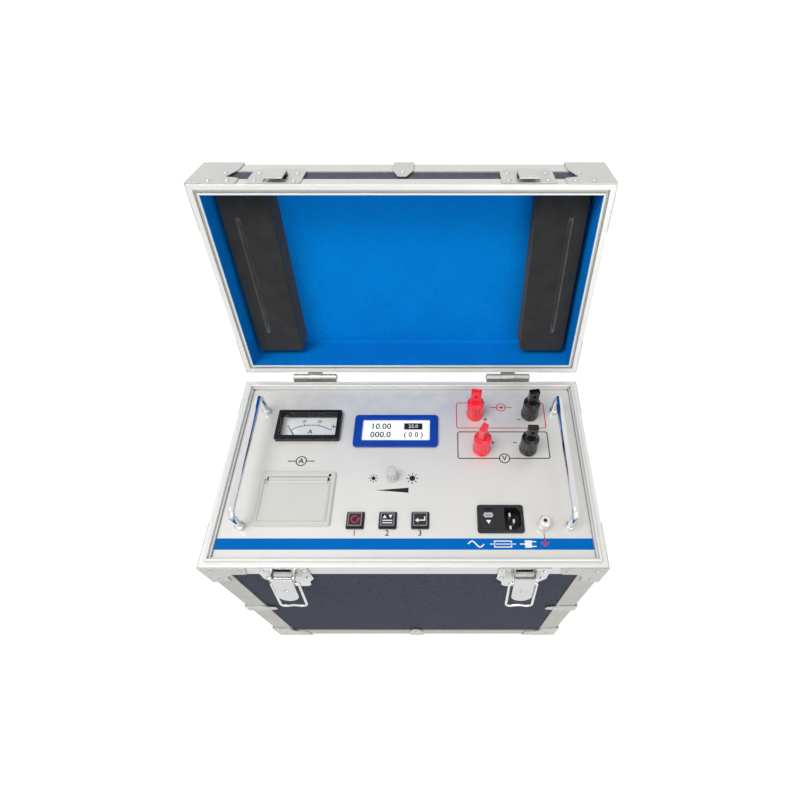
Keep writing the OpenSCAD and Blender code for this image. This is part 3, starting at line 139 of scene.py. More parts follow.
class Graph:
    """A node tree, with short calls for the nodes that the finishes share."""

    def __init__(self, owner: bpy.types.Material | bpy.types.World, space: Space = Space.CASE) -> None:
        """Empty the tree and give it an output.

        Args:
            owner: The material or world that the tree belongs to.
            space: The frame that its patterns follow.
        """
        owner.use_nodes = True
        self.tree = owner.node_tree
        self.tree.nodes.clear()
        self.space = space
        self.out = self.node("OutputWorld" if isinstance(owner, bpy.types.World) else "OutputMaterial")

    def node(self, kind: str, fed: Inputs | None = None, **settings: object) -> bpy.types.Node:
        """Add a node, set its properties and feed its inputs.

        Args:
            kind: The node's type.
            fed: What goes into its inputs, by their names or places.
            **settings: Its properties by name.

        Returns:
            The new node.
        """
        made = self.tree.nodes.new(f"ShaderNode{kind}")
        for key, value in settings.items():
            setattr(made, key, value)
        for key, source in (fed or {}).items():
            self.feed(made.inputs[key], source)
        return made

    def feed(self, target: Socket, source: object) -> None:
        """Link a socket, or set it where the source is a plain value.

        Args:
            target: The input socket.
            source: An output socket or a value.
        """
        if isinstance(source, Socket):
            self.tree.links.new(source, target)
        else:
            target.default_value = source

    @cached_property
    def place(self) -> Socket:
        """Find the coordinates that patterns follow.

        Returns:
            Object coordinates, turned square to the lid where the piece is on it.
        """
        place = self.node("TexCoord").outputs["Object"]
        if self.space is Space.CASE:
            return place
        back = LAYOUT.lid_matrix().inverted()
        fed = {"Location": back.to_translation() * MM, "Rotation": back.to_euler(), "Vector": place}
        return self.node("Mapping", fed, vector_type="POINT").outputs["Vector"]

    def along(self, axis: str) -> Socket:
        """Return the coordinate along X, Y or Z."""
        return self.node("SeparateXYZ", {"Vector": self.place}).outputs[axis]

    def stretched(self, x: float, y: float, z: float) -> Socket:
        """Return the coordinates scaled by one factor for each axis."""
        fed = {"Scale": (x, y, z), "Vector": self.place}
        return self.node("Mapping", fed, vector_type="POINT").outputs["Vector"]

    def noise(self, size: float, detail: float = 4.0, rough: float = 0.55, place: object = None) -> Socket:
        """Add soft noise.

        Args:
            size: The size of its patches, in millimetres.
            detail: How many finer layers it has.
            rough: How strong the finer layers are.
            place: Other coordinates than the piece's own.

        Returns:
            A value from 0 to 1.
        """
        fed = {"Vector": place or self.place, "Scale": 1.0 / (size * MM)}
        fed |= {"Detail": detail, "Roughness": rough}
        return self.node("TexNoise", fed, noise_dimensions="3D").outputs["Fac"]

    def cells(self, size: float) -> Socket:
        """Return the distance from the middles of cells of that size, in millimetres."""
        fed = {"Vector": self.place, "Scale": 1.0 / (size * MM)}
        return self.node("TexVoronoi", fed, feature="F1").outputs["Distance"]

    def rows(self, across: str, scale: float) -> Socket:
        """Return a wave from 0 to 1 that repeats across one axis."""
        fed = {"Vector": self.place, "Scale": scale}
        return self.node("TexWave", fed, wave_type="BANDS", bands_direction=across).outputs["Fac"]

    def span(self, source: object, low: float, high: float, start: float = 0.0, end: float = 1.0) -> Socket:
        """Map a value from start..end to low..high, held at both ends.

        Args:
            source: The value.
            low: What start becomes.
            high: What end becomes.
            start: The value's lower end.
            end: The value's upper end.

        Returns:
            The mapped value.
        """
        fed = {"Value": source, "From Min": start, "From Max": end, "To Min": low, "To Max": high}
        return self.node("MapRange", fed).outputs["Result"]

    def maths(self, operation: str, a: object, b: object = 0.0) -> Socket:
        """Return one arithmetic step on two values."""
        return self.node("Math", {0: a, 1: b}, operation=operation).outputs[0]

    def blend(self, share: object, a: object, b: object, kind: str = "RGBA") -> Socket:
        """Return the colour, or the value of another kind, between a and b at that share."""
        return self.node("Mix", {"Factor": share, "A": a, "B": b}, data_type=kind).outputs["Result"]

    def bump(self, height: object, depth: float, normal: Socket | None = None) -> Socket:
        """Add relief.

        Args:
            height: A value from 0 to 1.
            depth: What 1 stands for, in millimetres.
            normal: The normal that it starts from.

        Returns:
            The new normal.
        """
        fed = {"Strength": 1.0, "Distance": depth * MM, "Height": height}
        if normal is not None:
            fed["Normal"] = normal
        return self.node("Bump", fed).outputs["Normal"]

    def eased(self, radius: float) -> Socket:
        """Return normals that turn softly over the piece's edges."""
        return self.node("Bevel", {"Radius": radius * MM}, samples=SHADER_RAYS).outputs["Normal"]

    def edges(self, radius: float) -> Socket:
        """Find the piece's outer edges.

        Args:
            radius: How far they reach, in millimetres.

        Returns:
            A mask that is 1 along them and 0 on the flats.
        """
        flat = self.node("NewGeometry").outputs["True Normal"]
        dot = self.node("VectorMath", {0: self.eased(radius), 1: flat}, operation="DOT_PRODUCT")
        return self.span(dot.outputs["Value"], 1.0, 0.0, 0.80, 0.995)

    def hollows(self, reach: float) -> Socket:
        """Return a mask that is 1 in narrow corners and 0 in the open, for painted shade."""
        made = self.node("AmbientOcclusion", {"Distance": reach * MM}, samples=SHADER_RAYS)
        return self.span(made.outputs["AO"], 1.0, 0.0, 0.35, 0.95)

    def close(self, shader: Socket) -> None:
        """Give the output its shader."""
        self.feed(self.out.inputs["Surface"], shader)

    def surface(self, **sockets: object) -> Socket:
        """Close the tree with the main shader.

        Args:
            **sockets: Its inputs, with underscores for the spaces in their names.

        Returns:
            The shader.
        """
        fed = {key.replace("_", " "): value for key, value in sockets.items()}
        shader = self.node("BsdfPrincipled", fed).outputs["BSDF"]
        self.close(shader)
        return shader


@dataclass(frozen=True)
class Finish:
    """A moulded, painted or cast surface: patchy colour, fine grain and worn edges.

    Sizes are in millimetres. tone is the share by which the colour varies, wear the share by
    which edges grow paler, scuff the size of the worn spots, and gloss the strength of the
    reflection at its skin.
    """

    name: str
    colour: str
    rough: float = 0.45
    tone: float = 0.10
    patch: float = 35.0
    grain: float = 0.5
    relief: float = 0.012
    metallic: float = 0.0
    coat: float = 0.0
    wear: float = 0.15
    gloss: float = 0.5
    edge_r: float = 0.35
    scuff: float = 6.0
    bare: str = "e8e8e6"
    space: Space = Space.CASE

    def shade(self, gain: float = 1.0) -> tuple[float, float, float, float]:
        """Return the written colour, made darker or lighter."""
        return linear(self.colour, gain)

    def colouring(self, g: Graph) -> Socket:
        """Mix the colour with its patches, grain and worn edges.

        Args:
            g: The material's nodes.

        Returns:
            The colour.
        """
        patches = g.span(g.noise(self.patch), 0.0, 1.0, 0.3, 0.7)
        toned = g.blend(patches, self.shade(1 - self.tone), self.shade(1 + self.tone))
        speck = g.span(g.noise(self.grain * 2.5, 2.0), 0.0, self.tone * 1.2, 0.45, 0.75)
        speckled = g.blend(speck, toned, self.shade(0.6))
        spots = g.span(g.noise(self.scuff), 0.2, 1.0, 0.35, 0.6)
        scuffed = g.maths("MULTIPLY", g.edges(self.edge_r * 1.6), spots)
        return g.blend(g.maths("MULTIPLY", scuffed, self.wear), speckled, linear(self.bare))

    def smoothness(self, g: Graph) -> Socket:
        """Return the roughness with its smears."""
        smears = g.noise(self.patch * 0.4, 5.0)
        return g.span(smears, self.rough * 0.8, min(1.0, self.rough * 1.25), 0.3, 0.7)

    def paint(self, g: Graph) -> None:
        """Lay out the material's nodes.

        Args:
            g: The nodes.
        """
        g.surface(
            Base_Color=self.colouring(g),
            Roughness=self.smoothness(g),
            Metallic=self.metallic,
            Coat_Weight=self.coat,
            Coat_Roughness=0.12,
            Specular_IOR_Level=self.gloss,
            Normal=g.bump(g.noise(self.grain, 3.0), self.relief, g.eased(self.edge_r)),
        )

    def build(self) -> bpy.types.Material:
        """Make the material.

        Returns:
            The finished material.
        """
        made = bpy.data.materials.new(self.name)
        self.paint(Graph(made, self.space))
        return made


@dataclass(frozen=True)
class Metal(Finish):
    """A metal surface with drawn lines, dull patches, bright edges and painted shade in its corners."""

    rough: float = 0.34
    tone: float = 0.05
    metallic: float = 0.85
    wear: float = 0.5
    streak: Streak = Streak.NONE
    line: float = 0.25
    line_run: float = 50.0
    pit: float = 0.8
    # Painted shade: these three fields darken the colour towards a dark grey in narrow corners, found by an
    # occlusion mask of that reach.
    corner_shade: float = 0.45
    reach: float = 5.0
    shade_colour: str = "4a4844"

    def drawn(self, g: Graph, x: float, y: float) -> Socket:
        """Return lines squeezed by those factors along X and Y."""
        return g.noise(1.0, 3.0, 0.6, g.stretched(x, y, 1 / self.line))

    def lines(self, g: Graph) -> Socket:
        """Draw the lines, which run along each length of a frame.

        Args:
            g: The material's nodes.

        Returns:
            A value from 0 to 1.
        """
        if self.streak is Streak.NONE:
            return g.noise(self.pit, 3.0)
        long, fine = 1 / self.line_run, 1 / self.line
        along_x, along_y = self.drawn(g, long, fine), self.drawn(g, fine, long)
        if self.streak is not Streak.FRAME:
            return along_x if self.streak is Streak.ALONG_X else along_y
        from_edge = [
            g.maths("SUBTRACT", size / 2 * MM, g.maths("ABSOLUTE", g.along(axis)))
            for size, axis in ((LAYOUT.case_w, "X"), (LAYOUT.case_d, "Y"))
        ]
        return g.blend(g.maths("LESS_THAN", *from_edge), along_x, along_y, "FLOAT")

    def add_painted_light(self, g: Graph, toned: Socket) -> Socket:
        """Return the colour darkened by painted shade in narrow corners."""
        return g.blend(g.maths("MULTIPLY", g.hollows(self.reach), self.corner_shade), toned, linear(self.shade_colour))

    def paint(self, g: Graph) -> None:
        """Lay out the material's nodes.

        Args:
            g: The nodes.
        """
        lines = self.lines(g)
        toned = g.blend(g.span(lines, 0.0, 1.0, 0.3, 0.7), self.colouring(g), self.shade(1 - 2 * self.tone))
        g.surface(
            Base_Color=self.add_painted_light(g, toned),
            Roughness=g.maths("MULTIPLY", self.smoothness(g), g.span(lines, 0.9, 1.12, 0.3, 0.7)),
            Metallic=self.metallic,
            Normal=g.bump(lines, self.relief, g.eased(self.edge_r)),
        )


@dataclass(frozen=True)
class PaintedHighlightRim(Metal):
    """The lid's rim metal, with a painted highlight on the parting face where the lid rests on the base."""

    # A light painted shade in the rim's corners.
    corner_shade: float = 0.15
    # bright is the colour of the painted highlight, laid on the faces just above the parting plane.
    bright: str = "eeeeea"
    highlight_from: float = 0.5
    highlight_to: float = 1.2
    space: Space = Space.LID

    def add_painted_light(self, g: Graph, toned: Socket) -> Socket:
        """Paint a highlight on the parting face, then the painted shade in the corners.

        Args:
            g: The material's nodes.
            toned: The colour so far.

        Returns:
            The colour with both.
        """
        # Painted highlight: the colour turns to bright between these two heights above the parting plane.
        start, end = ((LAYOUT.part_z + up) * MM for up in (self.highlight_from, self.highlight_to))
        dull = g.span(g.along("Z"), 1.0, 0.0, start, end)
        return super().add_painted_light(g, g.blend(dull, toned, linear(self.bright)))


@dataclass(frozen=True)
class Laminate(Finish):
    """The pebbled plastic sheet on the boards."""

    rough: float = 0.7
    tone: float = 0.05
    gloss: float = 0.06
    pebble: float = 1.5
    pore: float = 0.35
    cloud: float = 4.0
    mottle: float = 2.6
    pebble_h: float = 0.07

    def smoothness(self, g: Graph) -> Socket:
        """Return the roughness, which changes little over the sheet."""
        return g.span(g.noise(self.cloud), self.rough * 0.95, self.rough * 1.05)

    def paint(self, g: Graph) -> None:
        """Lay out the material's nodes.

        Args:
            g: The nodes.
        """
        pebbles = g.span(g.cells(self.pebble), 1.0, 0.0, 0.0, 0.75)
        height = g.maths("ADD", pebbles, g.maths("MULTIPLY", g.noise(self.pore, 3.0), 0.35))
        mottle = g.span(g.noise(self.mottle, 2.0, 0.6), 0.0, 1.0, 0.4, 0.6)
        grained = g.blend(mottle, self.colouring(g), self.shade(0.7))
        g.surface(
            Base_Color=g.blend(g.span(pebbles, 0.0, 0.6, 0.25, 1.0), grained, self.shade(1.6)),
            Roughness=self.smoothness(g),
            Specular_IOR_Level=self.gloss,
            Normal=g.bump(height, self.pebble_h, g.eased(self.edge_r)),
        )


@dataclass(frozen=True)
class Velvet(Finish):
    """Flocked lining: a short nap, brushed this way and that, with painted light that makes it paler towards
    the lid's front.
    """

    deep: str = "0074c6"
    sheen: str = "1f8cff"
    nap: float = 0.45
    nap_h: float = 0.14
    brush: float = 9.0
    broad: float = 60.0
    mottle: float = 3.2
    space: Space = Space.LID

    def paint(self, g: Graph) -> None:
        """Lay out the material's nodes.

        Args:
            g: The nodes.
        """
        brushed = g.span(g.noise(self.brush, 4.0, 0.6, g.stretched(1.0, 0.45, 1.0)), 0.25, 0.75, 0.3, 0.7)
        broad = g.span(g.noise(self.broad, 2.0), 0.0, 1.0, 0.25, 0.75)
        mottle = g.span(g.noise(self.mottle, 3.0, 0.7), 0.0, 1.0, 0.38, 0.62)
        share = g.maths("ADD", g.maths("MULTIPLY", broad, 0.35), g.maths("MULTIPLY", brushed, 0.3))
        share = g.maths("ADD", share, g.maths("MULTIPLY", mottle, 0.35))
        # Painted light: a paler tone towards the lid's front and a darker one towards its back.
        half_d = LAYOUT.case_d / 2 * MM
        painted_light_share = g.span(g.along("Y"), 1.0, 0.0, -half_d, half_d)
        pale = g.blend(share, linear(self.deep, 1.15), self.shade(1.08))
        full = g.blend(share, linear(self.deep, 0.78), self.shade(0.8))
        nap = g.noise(self.nap, 2.0, 0.7)
        g.surface(
            Base_Color=g.blend(g.span(nap, 0.0, 0.3, 0.4, 0.7), g.blend(painted_light_share, full, pale), self.shade(1.25)),
            Roughness=g.span(nap, 0.8, 1.0),
            Normal=g.bump(g.maths("ADD", nap, g.maths("MULTIPLY", brushed, 0.6)), self.nap_h),
            Sheen_Weight=0.2,
            Sheen_Roughness=0.4,
            Sheen_Tint=linear(self.sheen),
            Specular_IOR_Level=0.05,
        )


@dataclass(frozen=True)
class Foam(Finish):
    """Die-cut closed-cell foam with open cells at its skin."""

    cell: float = 0.7
    cell_h: float = 0.16
    dent: float = 3.0
    rub: float = 18.0
    space: Space = Space.LID

    def paint(self, g: Graph) -> None:
        """Lay out the material's nodes.

        Args:
            g: The nodes.
        """
        pores = g.span(g.cells(self.cell), 0.0, 1.0, 0.08, 0.6)
        rubbed = g.span(g.noise(self.rub, 5.0), 0.0, 0.6, 0.42, 0.72)
        base = g.blend(rubbed, self.shade(), self.shade(1.9))
        g.surface(
            Base_Color=g.blend(g.span(pores, 0.35, 0.0), base, self.shade(0.35)),
            Roughness=g.span(pores, 0.95, 0.78),
            Normal=g.bump(g.maths("ADD", pores, g.maths("MULTIPLY", g.noise(self.dent), 0.8)), self.cell_h),
            Sheen_Weight=0.12,
            Sheen_Roughness=0.6,
            Specular_IOR_Level=0.25,
        )


@dataclass(frozen=True)
class Pane(Finish):
    """A clear moulded window that lets the light through to what lies behind it."""

    rough: float = 0.03
    smear: float = 9.0
    wave: float = 25.0
    cloud: float = 14.0
    mirror_flat: float = 0.015
    mirror_rim: float = 0.4

    def paint(self, g: Graph) -> None:
        """Lay out the material's nodes.

        Args:
            g: The nodes.
        """
        smears = g.span(g.noise(self.smear, 5.0), self.rough, self.rough * 4, 0.4, 0.75)
        gloss = g.node("BsdfGlossy", {"Roughness": smears, "Normal": g.bump(g.noise(self.wave, 1.0), 0.02)})
        tint = g.blend(g.span(g.noise(self.cloud), 0.0, 1.0), self.shade(), WHITE)
        clear = g.node("BsdfTransparent", {"Color": tint})
        rim = g.node("LayerWeight", {"Blend": 0.25}).outputs["Facing"]
        share = g.span(rim, self.mirror_flat, self.mirror_rim)
        both = g.node("MixShader", {0: share, 1: clear.outputs[0], 2: gloss.outputs[0]})
        g.close(both.outputs[0])


@dataclass(frozen=True)
class Lit(Finish):
    """The white field of a backlit display, with its faint rows."""

    rough: float = 0.18
    glow: float = 0.26
    row_scale: float = 330.0
    row: str = "c9d4dc"

    def paint(self, g: Graph) -> None:
        """Lay out the material's nodes.

        Args:
            g: The nodes.
        """
        faint = g.span(g.rows("Y", self.row_scale), 0.0, 0.12)
        tone = g.blend(faint, self.colouring(g), linear(self.row))
        g.surface(
            Base_Color=tone,
            Roughness=self.smoothness(g),
            Normal=g.bump(g.noise(20.0), 0.01),
            Emission_Color=tone,
            Emission_Strength=self.glow,
        )


@dataclass(frozen=True)
class Winding(Finish):
    """Enamelled wire wound in rows over a core."""

    wire: float = 1.4
    metallic: float = 0.5

    def paint(self, g: Graph) -> None:
        """Lay out the material's nodes.

        Args:
            g: The nodes.
        """
        turns = g.rows("Z", 0.5 / (self.wire * MM) / math.pi)
        g.surface(
            Base_Color=g.blend(g.span(turns, 0.5, 0.0), self.colouring(g), self.shade(0.4)),
            Roughness=self.smoothness(g),
            Metallic=self.metallic,
            Normal=g.bump(turns, 0.4),
        )


class Palette:
    """Every finish of the set, made once each."""

    def __init__(self) -> None:
        """List the finishes and start with none built."""
        listed = [*self.metals(), *self.soft(), *self.plastics(), *self.prints()]
        self.finishes: dict[str, Finish] = {f.name: f for f in listed}
        self.made: dict[str, bpy.types.Material] = {}

    def metals(self) -> list[Finish]:
        """List the metals.

        Returns:
            The finishes of the case's profiles, the fittings and the inner metal parts.
        """
        lid = {"space": Space.LID}
        drawn = {"streak": Streak.FRAME, "relief": 0.005, "rough": 0.4}
        return [
            Metal("rim_aluminium", "e9e9e5", tone=0.03, metallic=0.35, edge_r=0.9, **drawn),
            # The base's edge profiles are written darker than the lid's, though both are one aluminium:
            # painted shade on the base.
            Metal("edge_aluminium", "c4c1ba", metallic=0.4, **drawn),
            # The lid's rim carries a painted highlight on its parting face.
            PaintedHighlightRim("lid_rim_aluminium", "dcdcd7", tone=0.03, metallic=0.35, edge_r=1.1, **drawn),
            Metal("lid_edge_aluminium", "dadad5", tone=0.04, metallic=0.4, **lid, **drawn),
            Metal("pressed_steel", "c8c6c1", rough=0.3, metallic=0.55),
            Metal("lid_steel", "cfcfca", rough=0.3, metallic=0.6, **lid),
            # The latches get strong painted shade over a long reach, which darkens the gaps round their
            # levers.
            Metal("latch_steel", "d6d7d6", rough=0.2, relief=0.01, metallic=0.9, corner_shade=0.95, reach=9.0),
            Metal("bright_wire", "e4e4e3", rough=0.16, relief=0.005, metallic=0.95, corner_shade=0.2),
            Metal("zinc_screw", "b4b5b3", rough=0.35, streak=Streak.ALONG_X),
            Metal("chrome", "dcdee0", 0.06, 0.02, relief=0.001, metallic=1.0, wear=0.1, corner_shade=0.3),
            Metal("chassis_zinc", "a7a9a8", 0.42, 0.12, 18.0),
            Metal("brass", "bb9a55", rough=0.26, metallic=1.0),
            Metal("plated_post", "ece8e2", rough=0.25, metallic=0.5, streak=Streak.ALONG_X),
            Metal("cast_mechanism", "8a8c8e", rough=0.4),
            Metal("black_fins", "34363a", rough=0.45, metallic=0.5, streak=Streak.ALONG_Y),
            Winding("coil_wire", "8c4f26"),
        ]

    def soft(self) -> list[Finish]:
        """List the soft and papery materials.

        Returns:
            The finishes of the boards, the lining, the pads, the rubber and the paper.
        """
        return [
            # The base's and the lid's boards are one laminate, written darker on the base and lighter on the
            # lid: painted shade and painted light.
            Laminate("board_laminate", "4d515d"),
            Laminate("lid_laminate", "5a5f6c", space=Space.LID),
            Velvet("blue_velvet", "008ce8"),
            Foam("black_foam", "242424"),
            # A lighter copy of the foam for the crease faces: a painted highlight along the crease.
            Foam("crease_highlight_foam", "555553"),
            Finish("rubber", "232323", 0.8, relief=0.05, grain=0.9, wear=0.08),
            Finish("roller_rubber", "303133", 0.75, relief=0.03),
            Finish("paper", "f2f1ec", 0.85, 0.02, grain=0.25, relief=0.02, wear=0.0),
        ]

    def plastics(self) -> list[Finish]:
        """List the plastics and the panel's paint.

        Returns:
            The finishes of the painted panel and the moulded parts.
        """
        return [
            Finish("panel_paint", "dcdad5", 0.42, 0.012, grain=0.35, relief=0.01, metallic=0.3, wear=0.05),
            Finish("grip_plastic", "26272a", 0.5, relief=0.04, grain=0.8),
            Finish("black_plastic", "0b0c0e", 0.25, relief=0.006, gloss=0.2),
            Finish("dark_plastic", "2c2e31", 0.5, relief=0.03, grain=0.6),
            Finish("socket_plastic", "1b1c1f", 0.42, relief=0.02, gloss=0.35),
            Finish("cap_plastic", "202124", relief=0.02, gloss=0.3),
            Finish("blue_plastic", "0340a4", 0.35, 0.05, relief=0.008, gloss=0.2, wear=0.06),
            Finish("printer_plastic", "d2d2ca", tone=0.015, relief=0.02, wear=0.04, gloss=0.3),
            Finish("knob_plastic", "c8c9c7", 0.4, 0.04, relief=0.01, wear=0.1),
            Finish("red_plastic", "f8203a", 0.2, 0.06, relief=0.006, coat=0.25, wear=0.06, gloss=0.4),
            Finish("post_black", "0e0f11", 0.16, 0.08, relief=0.006, coat=0.2, wear=0.06, gloss=0.3),
            Finish("circuit_green", "2d6a3b", 0.35, 0.15, 8.0, relief=0.05),
            Pane("clear_window", "fcfdfd"),
            Lit("display_field", "f2f5f7"),
        ]

    def prints(self) -> list[Finish]:
        """List the inks and other flat colours.

        Returns:
            The finishes of the inks, the dial, its needle and the latches' painted shadows.
        """
        flat = {"relief": 0.004, "wear": 0.0}
        return [
            Finish("dial_card", "ffffff", 0.6, 0.01, grain=0.3, gloss=0.2, **flat),
            Finish("needle_paint", "151515", 0.4, wear=0.0),
            # The colour of the painted shadows above the latch levers.
            Finish("slot_shadow", "17171a", 0.85, relief=0.01, wear=0.0, gloss=0.05),
            Finish("ink_blue", "0069bd", 0.7, 0.04, gloss=0.05, **flat),
            Finish("ink_red", "d8304c", tone=0.05, gloss=0.2, **flat),
            Finish("ink_black", "1e1f21", tone=0.05, gloss=0.2, **flat),
            Finish("ink_white", "f0f0f0", tone=0.03, **flat),
            Finish("ink_grey", "8b8d8f", tone=0.05, **flat),
        ]

    def get(self, name: str) -> bpy.types.Material:
        """Find a material, which is built at its first use.

        Args:
            name: The finish's name.

        Returns:
            The material.
        """
        if name not in self.made:
            self.made[name] = self.finishes[name].build()
        return self.made[name]


PALETTE = Palette()


@dataclass
class Shop:
    """Turns a drawn mesh, in millimetres, into a piece that rides on a body."""

    body: str
    space: Space = Space.CASE

    def deliver(
        self, name: str, mesh: Mesh, finish: str, slot: str = "", smooth: float = 35.0
    ) -> bpy.types.Object:
        """Place a mesh, dress it and let it ride.

        Args:
            name: The piece's name.
            mesh: Its mesh in millimetres, on the lid drawn closed. It is freed here.
            finish: The finish that it wears.
            slot: Not used.
            smooth: The angle in degrees above which an edge stays sharp.

        Returns:
            The piece.
        """
        if self.space is Space.LID:
            mesh.transform(LAYOUT.lid_matrix())
        mesh.transform(Matrix.Scale(MM, 4))
        for face in mesh.faces:
            face.smooth = True
        for edge in mesh.edges:
            edge.smooth = len(edge.link_faces) == 2 and edge.calc_face_angle(math.pi) < math.radians(smooth)
        data = bpy.data.meshes.new(name)
        mesh.to_mesh(data)
        mesh.free()
        data.materials.append(PALETTE.get(finish))
        piece = bpy.data.objects.new(name, data)
        bpy.context.scene.collection.objects.link(piece)
        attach(piece, self.body)
        log.info("made %s: %d faces on %s", name, len(data.polygons), self.body)
        return piece


def new_box(size: Point, centre: Point) -> Mesh:
    """Start a mesh with a box.

    Args:
        size: Its three sizes.
        centre: Its middle.

    Returns:
        The mesh.
    """
    mesh = bmesh.new()
    bmesh.ops.create_cube(mesh, size=1.0)
    bmesh.ops.scale(mesh, vec=Vector(size), verts=mesh.verts)
    bmesh.ops.translate(mesh, vec=Vector(centre), verts=mesh.verts)
    return mesh


def run(edge: bmesh.types.BMEdge) -> Vector:
    """Return how far an edge runs along each axis."""
    reach = edge.verts[1].co - edge.verts[0].co
    return Vector([abs(r) for r in reach])


def ease(mesh: Mesh, edges: Iterable[bmesh.types.BMEdge], width: float, steps: int = 3) -> None:
    """Round some edges of a mesh.

    Args:
        mesh: The mesh.
        edges: The edges to round.
        width: How far the rounding reaches, in millimetres.
        steps: The faces across it.
    """
    bmesh.ops.bevel(
        mesh, geom=list(edges), offset=width, offset_type="OFFSET", affect="EDGES",
        segments=steps, profile=0.5, material=-1, clamp_overlap=True,
    )


def raised(mesh: Mesh, height: float) -> Mesh:
    """Give a level shape its thickness.

    Args:
        mesh: The shape.
        height: The thickness.

    Returns:
        The same mesh, now a solid.
    """
    made = bmesh.ops.extrude_face_region(mesh, geom=list(mesh.faces))["geom"]
    tops = [v for v in made if isinstance(v, bmesh.types.BMVert)]
    bmesh.ops.translate(mesh, vec=(0, 0, height), verts=tops)
    bmesh.ops.recalc_face_normals(mesh, faces=mesh.faces)
    return mesh


def slab(outline: Iterable[Point], low: float, height: float) -> Mesh:
    """Draw a flat shape and raise it.

    Args:
        outline: Its corners in order, as x and y.
        low: The height of its underside.
        height: Its thickness.

    Returns:
        The mesh.
    """
    mesh = bmesh.new()
    mesh.faces.new([mesh.verts.new((x, y, low)) for x, y in outline])
    return raised(mesh, height)


def stroke(points: Iterable[Point], width: float, low: float, closed: bool = False) -> Mesh:
    """Draw a printed line of even width.

    Args:
        points: The line's corners, as x and y.
        width: Its width.
        low: The height of the surface that carries it.
        closed: Whether it runs back to its start.

    Returns:
        The mesh.
    """
    mesh = bmesh.new()
    spots = [Vector((x, y, low)) for x, y in points]
    count = len(spots)
    rails: list[tuple[bmesh.types.BMVert, bmesh.types.BMVert]] = []
    for k, spot in enumerate(spots):
        before = spots[k - 1] if k or closed else spot
        after = spots[(k + 1) % count] if k < count - 1 or closed else spot
        ahead = ((spot - before).normalized() + (after - spot).normalized()).normalized()
        side = Vector((-ahead.y, ahead.x, 0.0))
        leg = (after - spot).normalized() if after != spot else (spot - before).normalized()
        reach = width / 2 / max(MITRE_LIMIT, abs(side.dot(Vector((-leg.y, leg.x, 0.0)))))
        rails.append((mesh.verts.new(spot - side * reach), mesh.verts.new(spot + side * reach)))
    for k in range(count if closed else count - 1):
        a, b = rails[k], rails[(k + 1) % count]
        mesh.faces.new((a[0], b[0], b[1], a[1]))
    return raised(mesh, PRINT_H)


def joined(parts: Iterable[Mesh]) -> Mesh:
    """Gather several meshes into one.

    Args:
        parts: The meshes, which are freed.

    Returns:
        The one mesh.
    """
    whole = bmesh.new()
    for part in parts:
        held = bpy.data.meshes.new("held")
        part.to_mesh(held)
        whole.from_mesh(held)
        part.free()
        bpy.data.meshes.remove(held)
    return whole


def polar(x: float, y: float, radius: float, turn: float) -> tuple[float, float]:
    """Return the point at that distance and angle, in degrees from +X, from x and y."""
    angle = math.radians(turn)
    return (x + radius * math.cos(angle), y + radius * math.sin(angle))


def arc(x: float, y: float, radius: float, start: float, end: float, steps: int) -> list[tuple[float, float]]:
    """Return points round an arc about x and y, from one angle in degrees to another."""
    return [polar(x, y, radius, start + (end - start) * k / steps) for k in range(steps + 1)]


def circle(x: float, y: float, radius: float) -> list[tuple[float, float]]:
    """Return the outline of a dot."""
    return arc(x, y, radius, 0.0, 360.0 - 360.0 / DOT_SIDES, DOT_SIDES - 1)


def corners(x: float, y: float, half_w: float, half_d: float) -> list[tuple[float, float]]:
    """Return the corners of an upright rectangle about x and y."""
    return [(x + a * half_w, y + b * half_d) for a, b in ((-1, -1), (1, -1), (1, 1), (-1, 1))]


def figures(text: str, size: float, at: Point, low: float, turn: float = 0.0) -> Mesh:
    """Draw printed figures, centred on a point.

    Args:
        text: The figures.
        size: Their height.
        at: Where their middle lies, as x and y.
        low: The height of the surface that carries them.
        turn: Their turn in degrees.

    Returns:
        The mesh.
    """
    words = bpy.data.curves.new("figures", "FONT")
    words.body = text
    words.size = size * FONT_PER_HEIGHT
    words.align_x = "CENTER"
    words.align_y = "CENTER"
    words.extrude = PRINT_H / 2
    words.offset = size * FONT_WEIGHT
    words.resolution_u = 2
    carrier = bpy.data.objects.new("figures", words)
    bpy.context.scene.collection.objects.link(carrier)
    bpy.context.view_layer.update()
    shaped = bpy.data.meshes.new_from_object(carrier.evaluated_get(bpy.context.evaluated_depsgraph_get()))
    bpy.data.objects.remove(carrier)
    mesh = bmesh.new()
    mesh.from_mesh(shaped)
    bpy.data.meshes.remove(shaped)
    bmesh.ops.remove_doubles(mesh, verts=mesh.verts, dist=0.002)
    middle = Matrix.Translation((at[0], at[1], low + PRINT_H / 2))
    mesh.transform(middle @ Matrix.Rotation(math.radians(turn), 4, "Z"))
    return mesh


@dataclass
class Pen:
    """Draws prints on a level surface, and delivers what it has drawn as one piece."""

    low: float
    width: float = 1.1
    body: str = "case"
    drawn: list[Mesh] = field(default_factory=list)

    def line(self, *points: Point, width: float = 0.0, closed: bool = False) -> Pen:
        """Draw a line through points, in the pen's own width where none is given."""
        self.drawn.append(stroke(points, width or self.width, self.low, closed))
        return self

    def fill(self, *outline: Point, height: float = PRINT_H) -> Pen:
        """Fill an outline."""
        self.drawn.append(slab(outline, self.low, height))
        return self

    def text(self, text: str, size: float, at: Point, turn: float = 0.0) -> Pen:
        """Draw figures about a point."""
        self.drawn.append(figures(text, size, at, self.low, turn))
        return self

    def deliver(self, name: str, finish: str) -> None:
        """Hand over the print in its ink."""
        Shop(self.body).deliver(name, joined(self.drawn), finish)


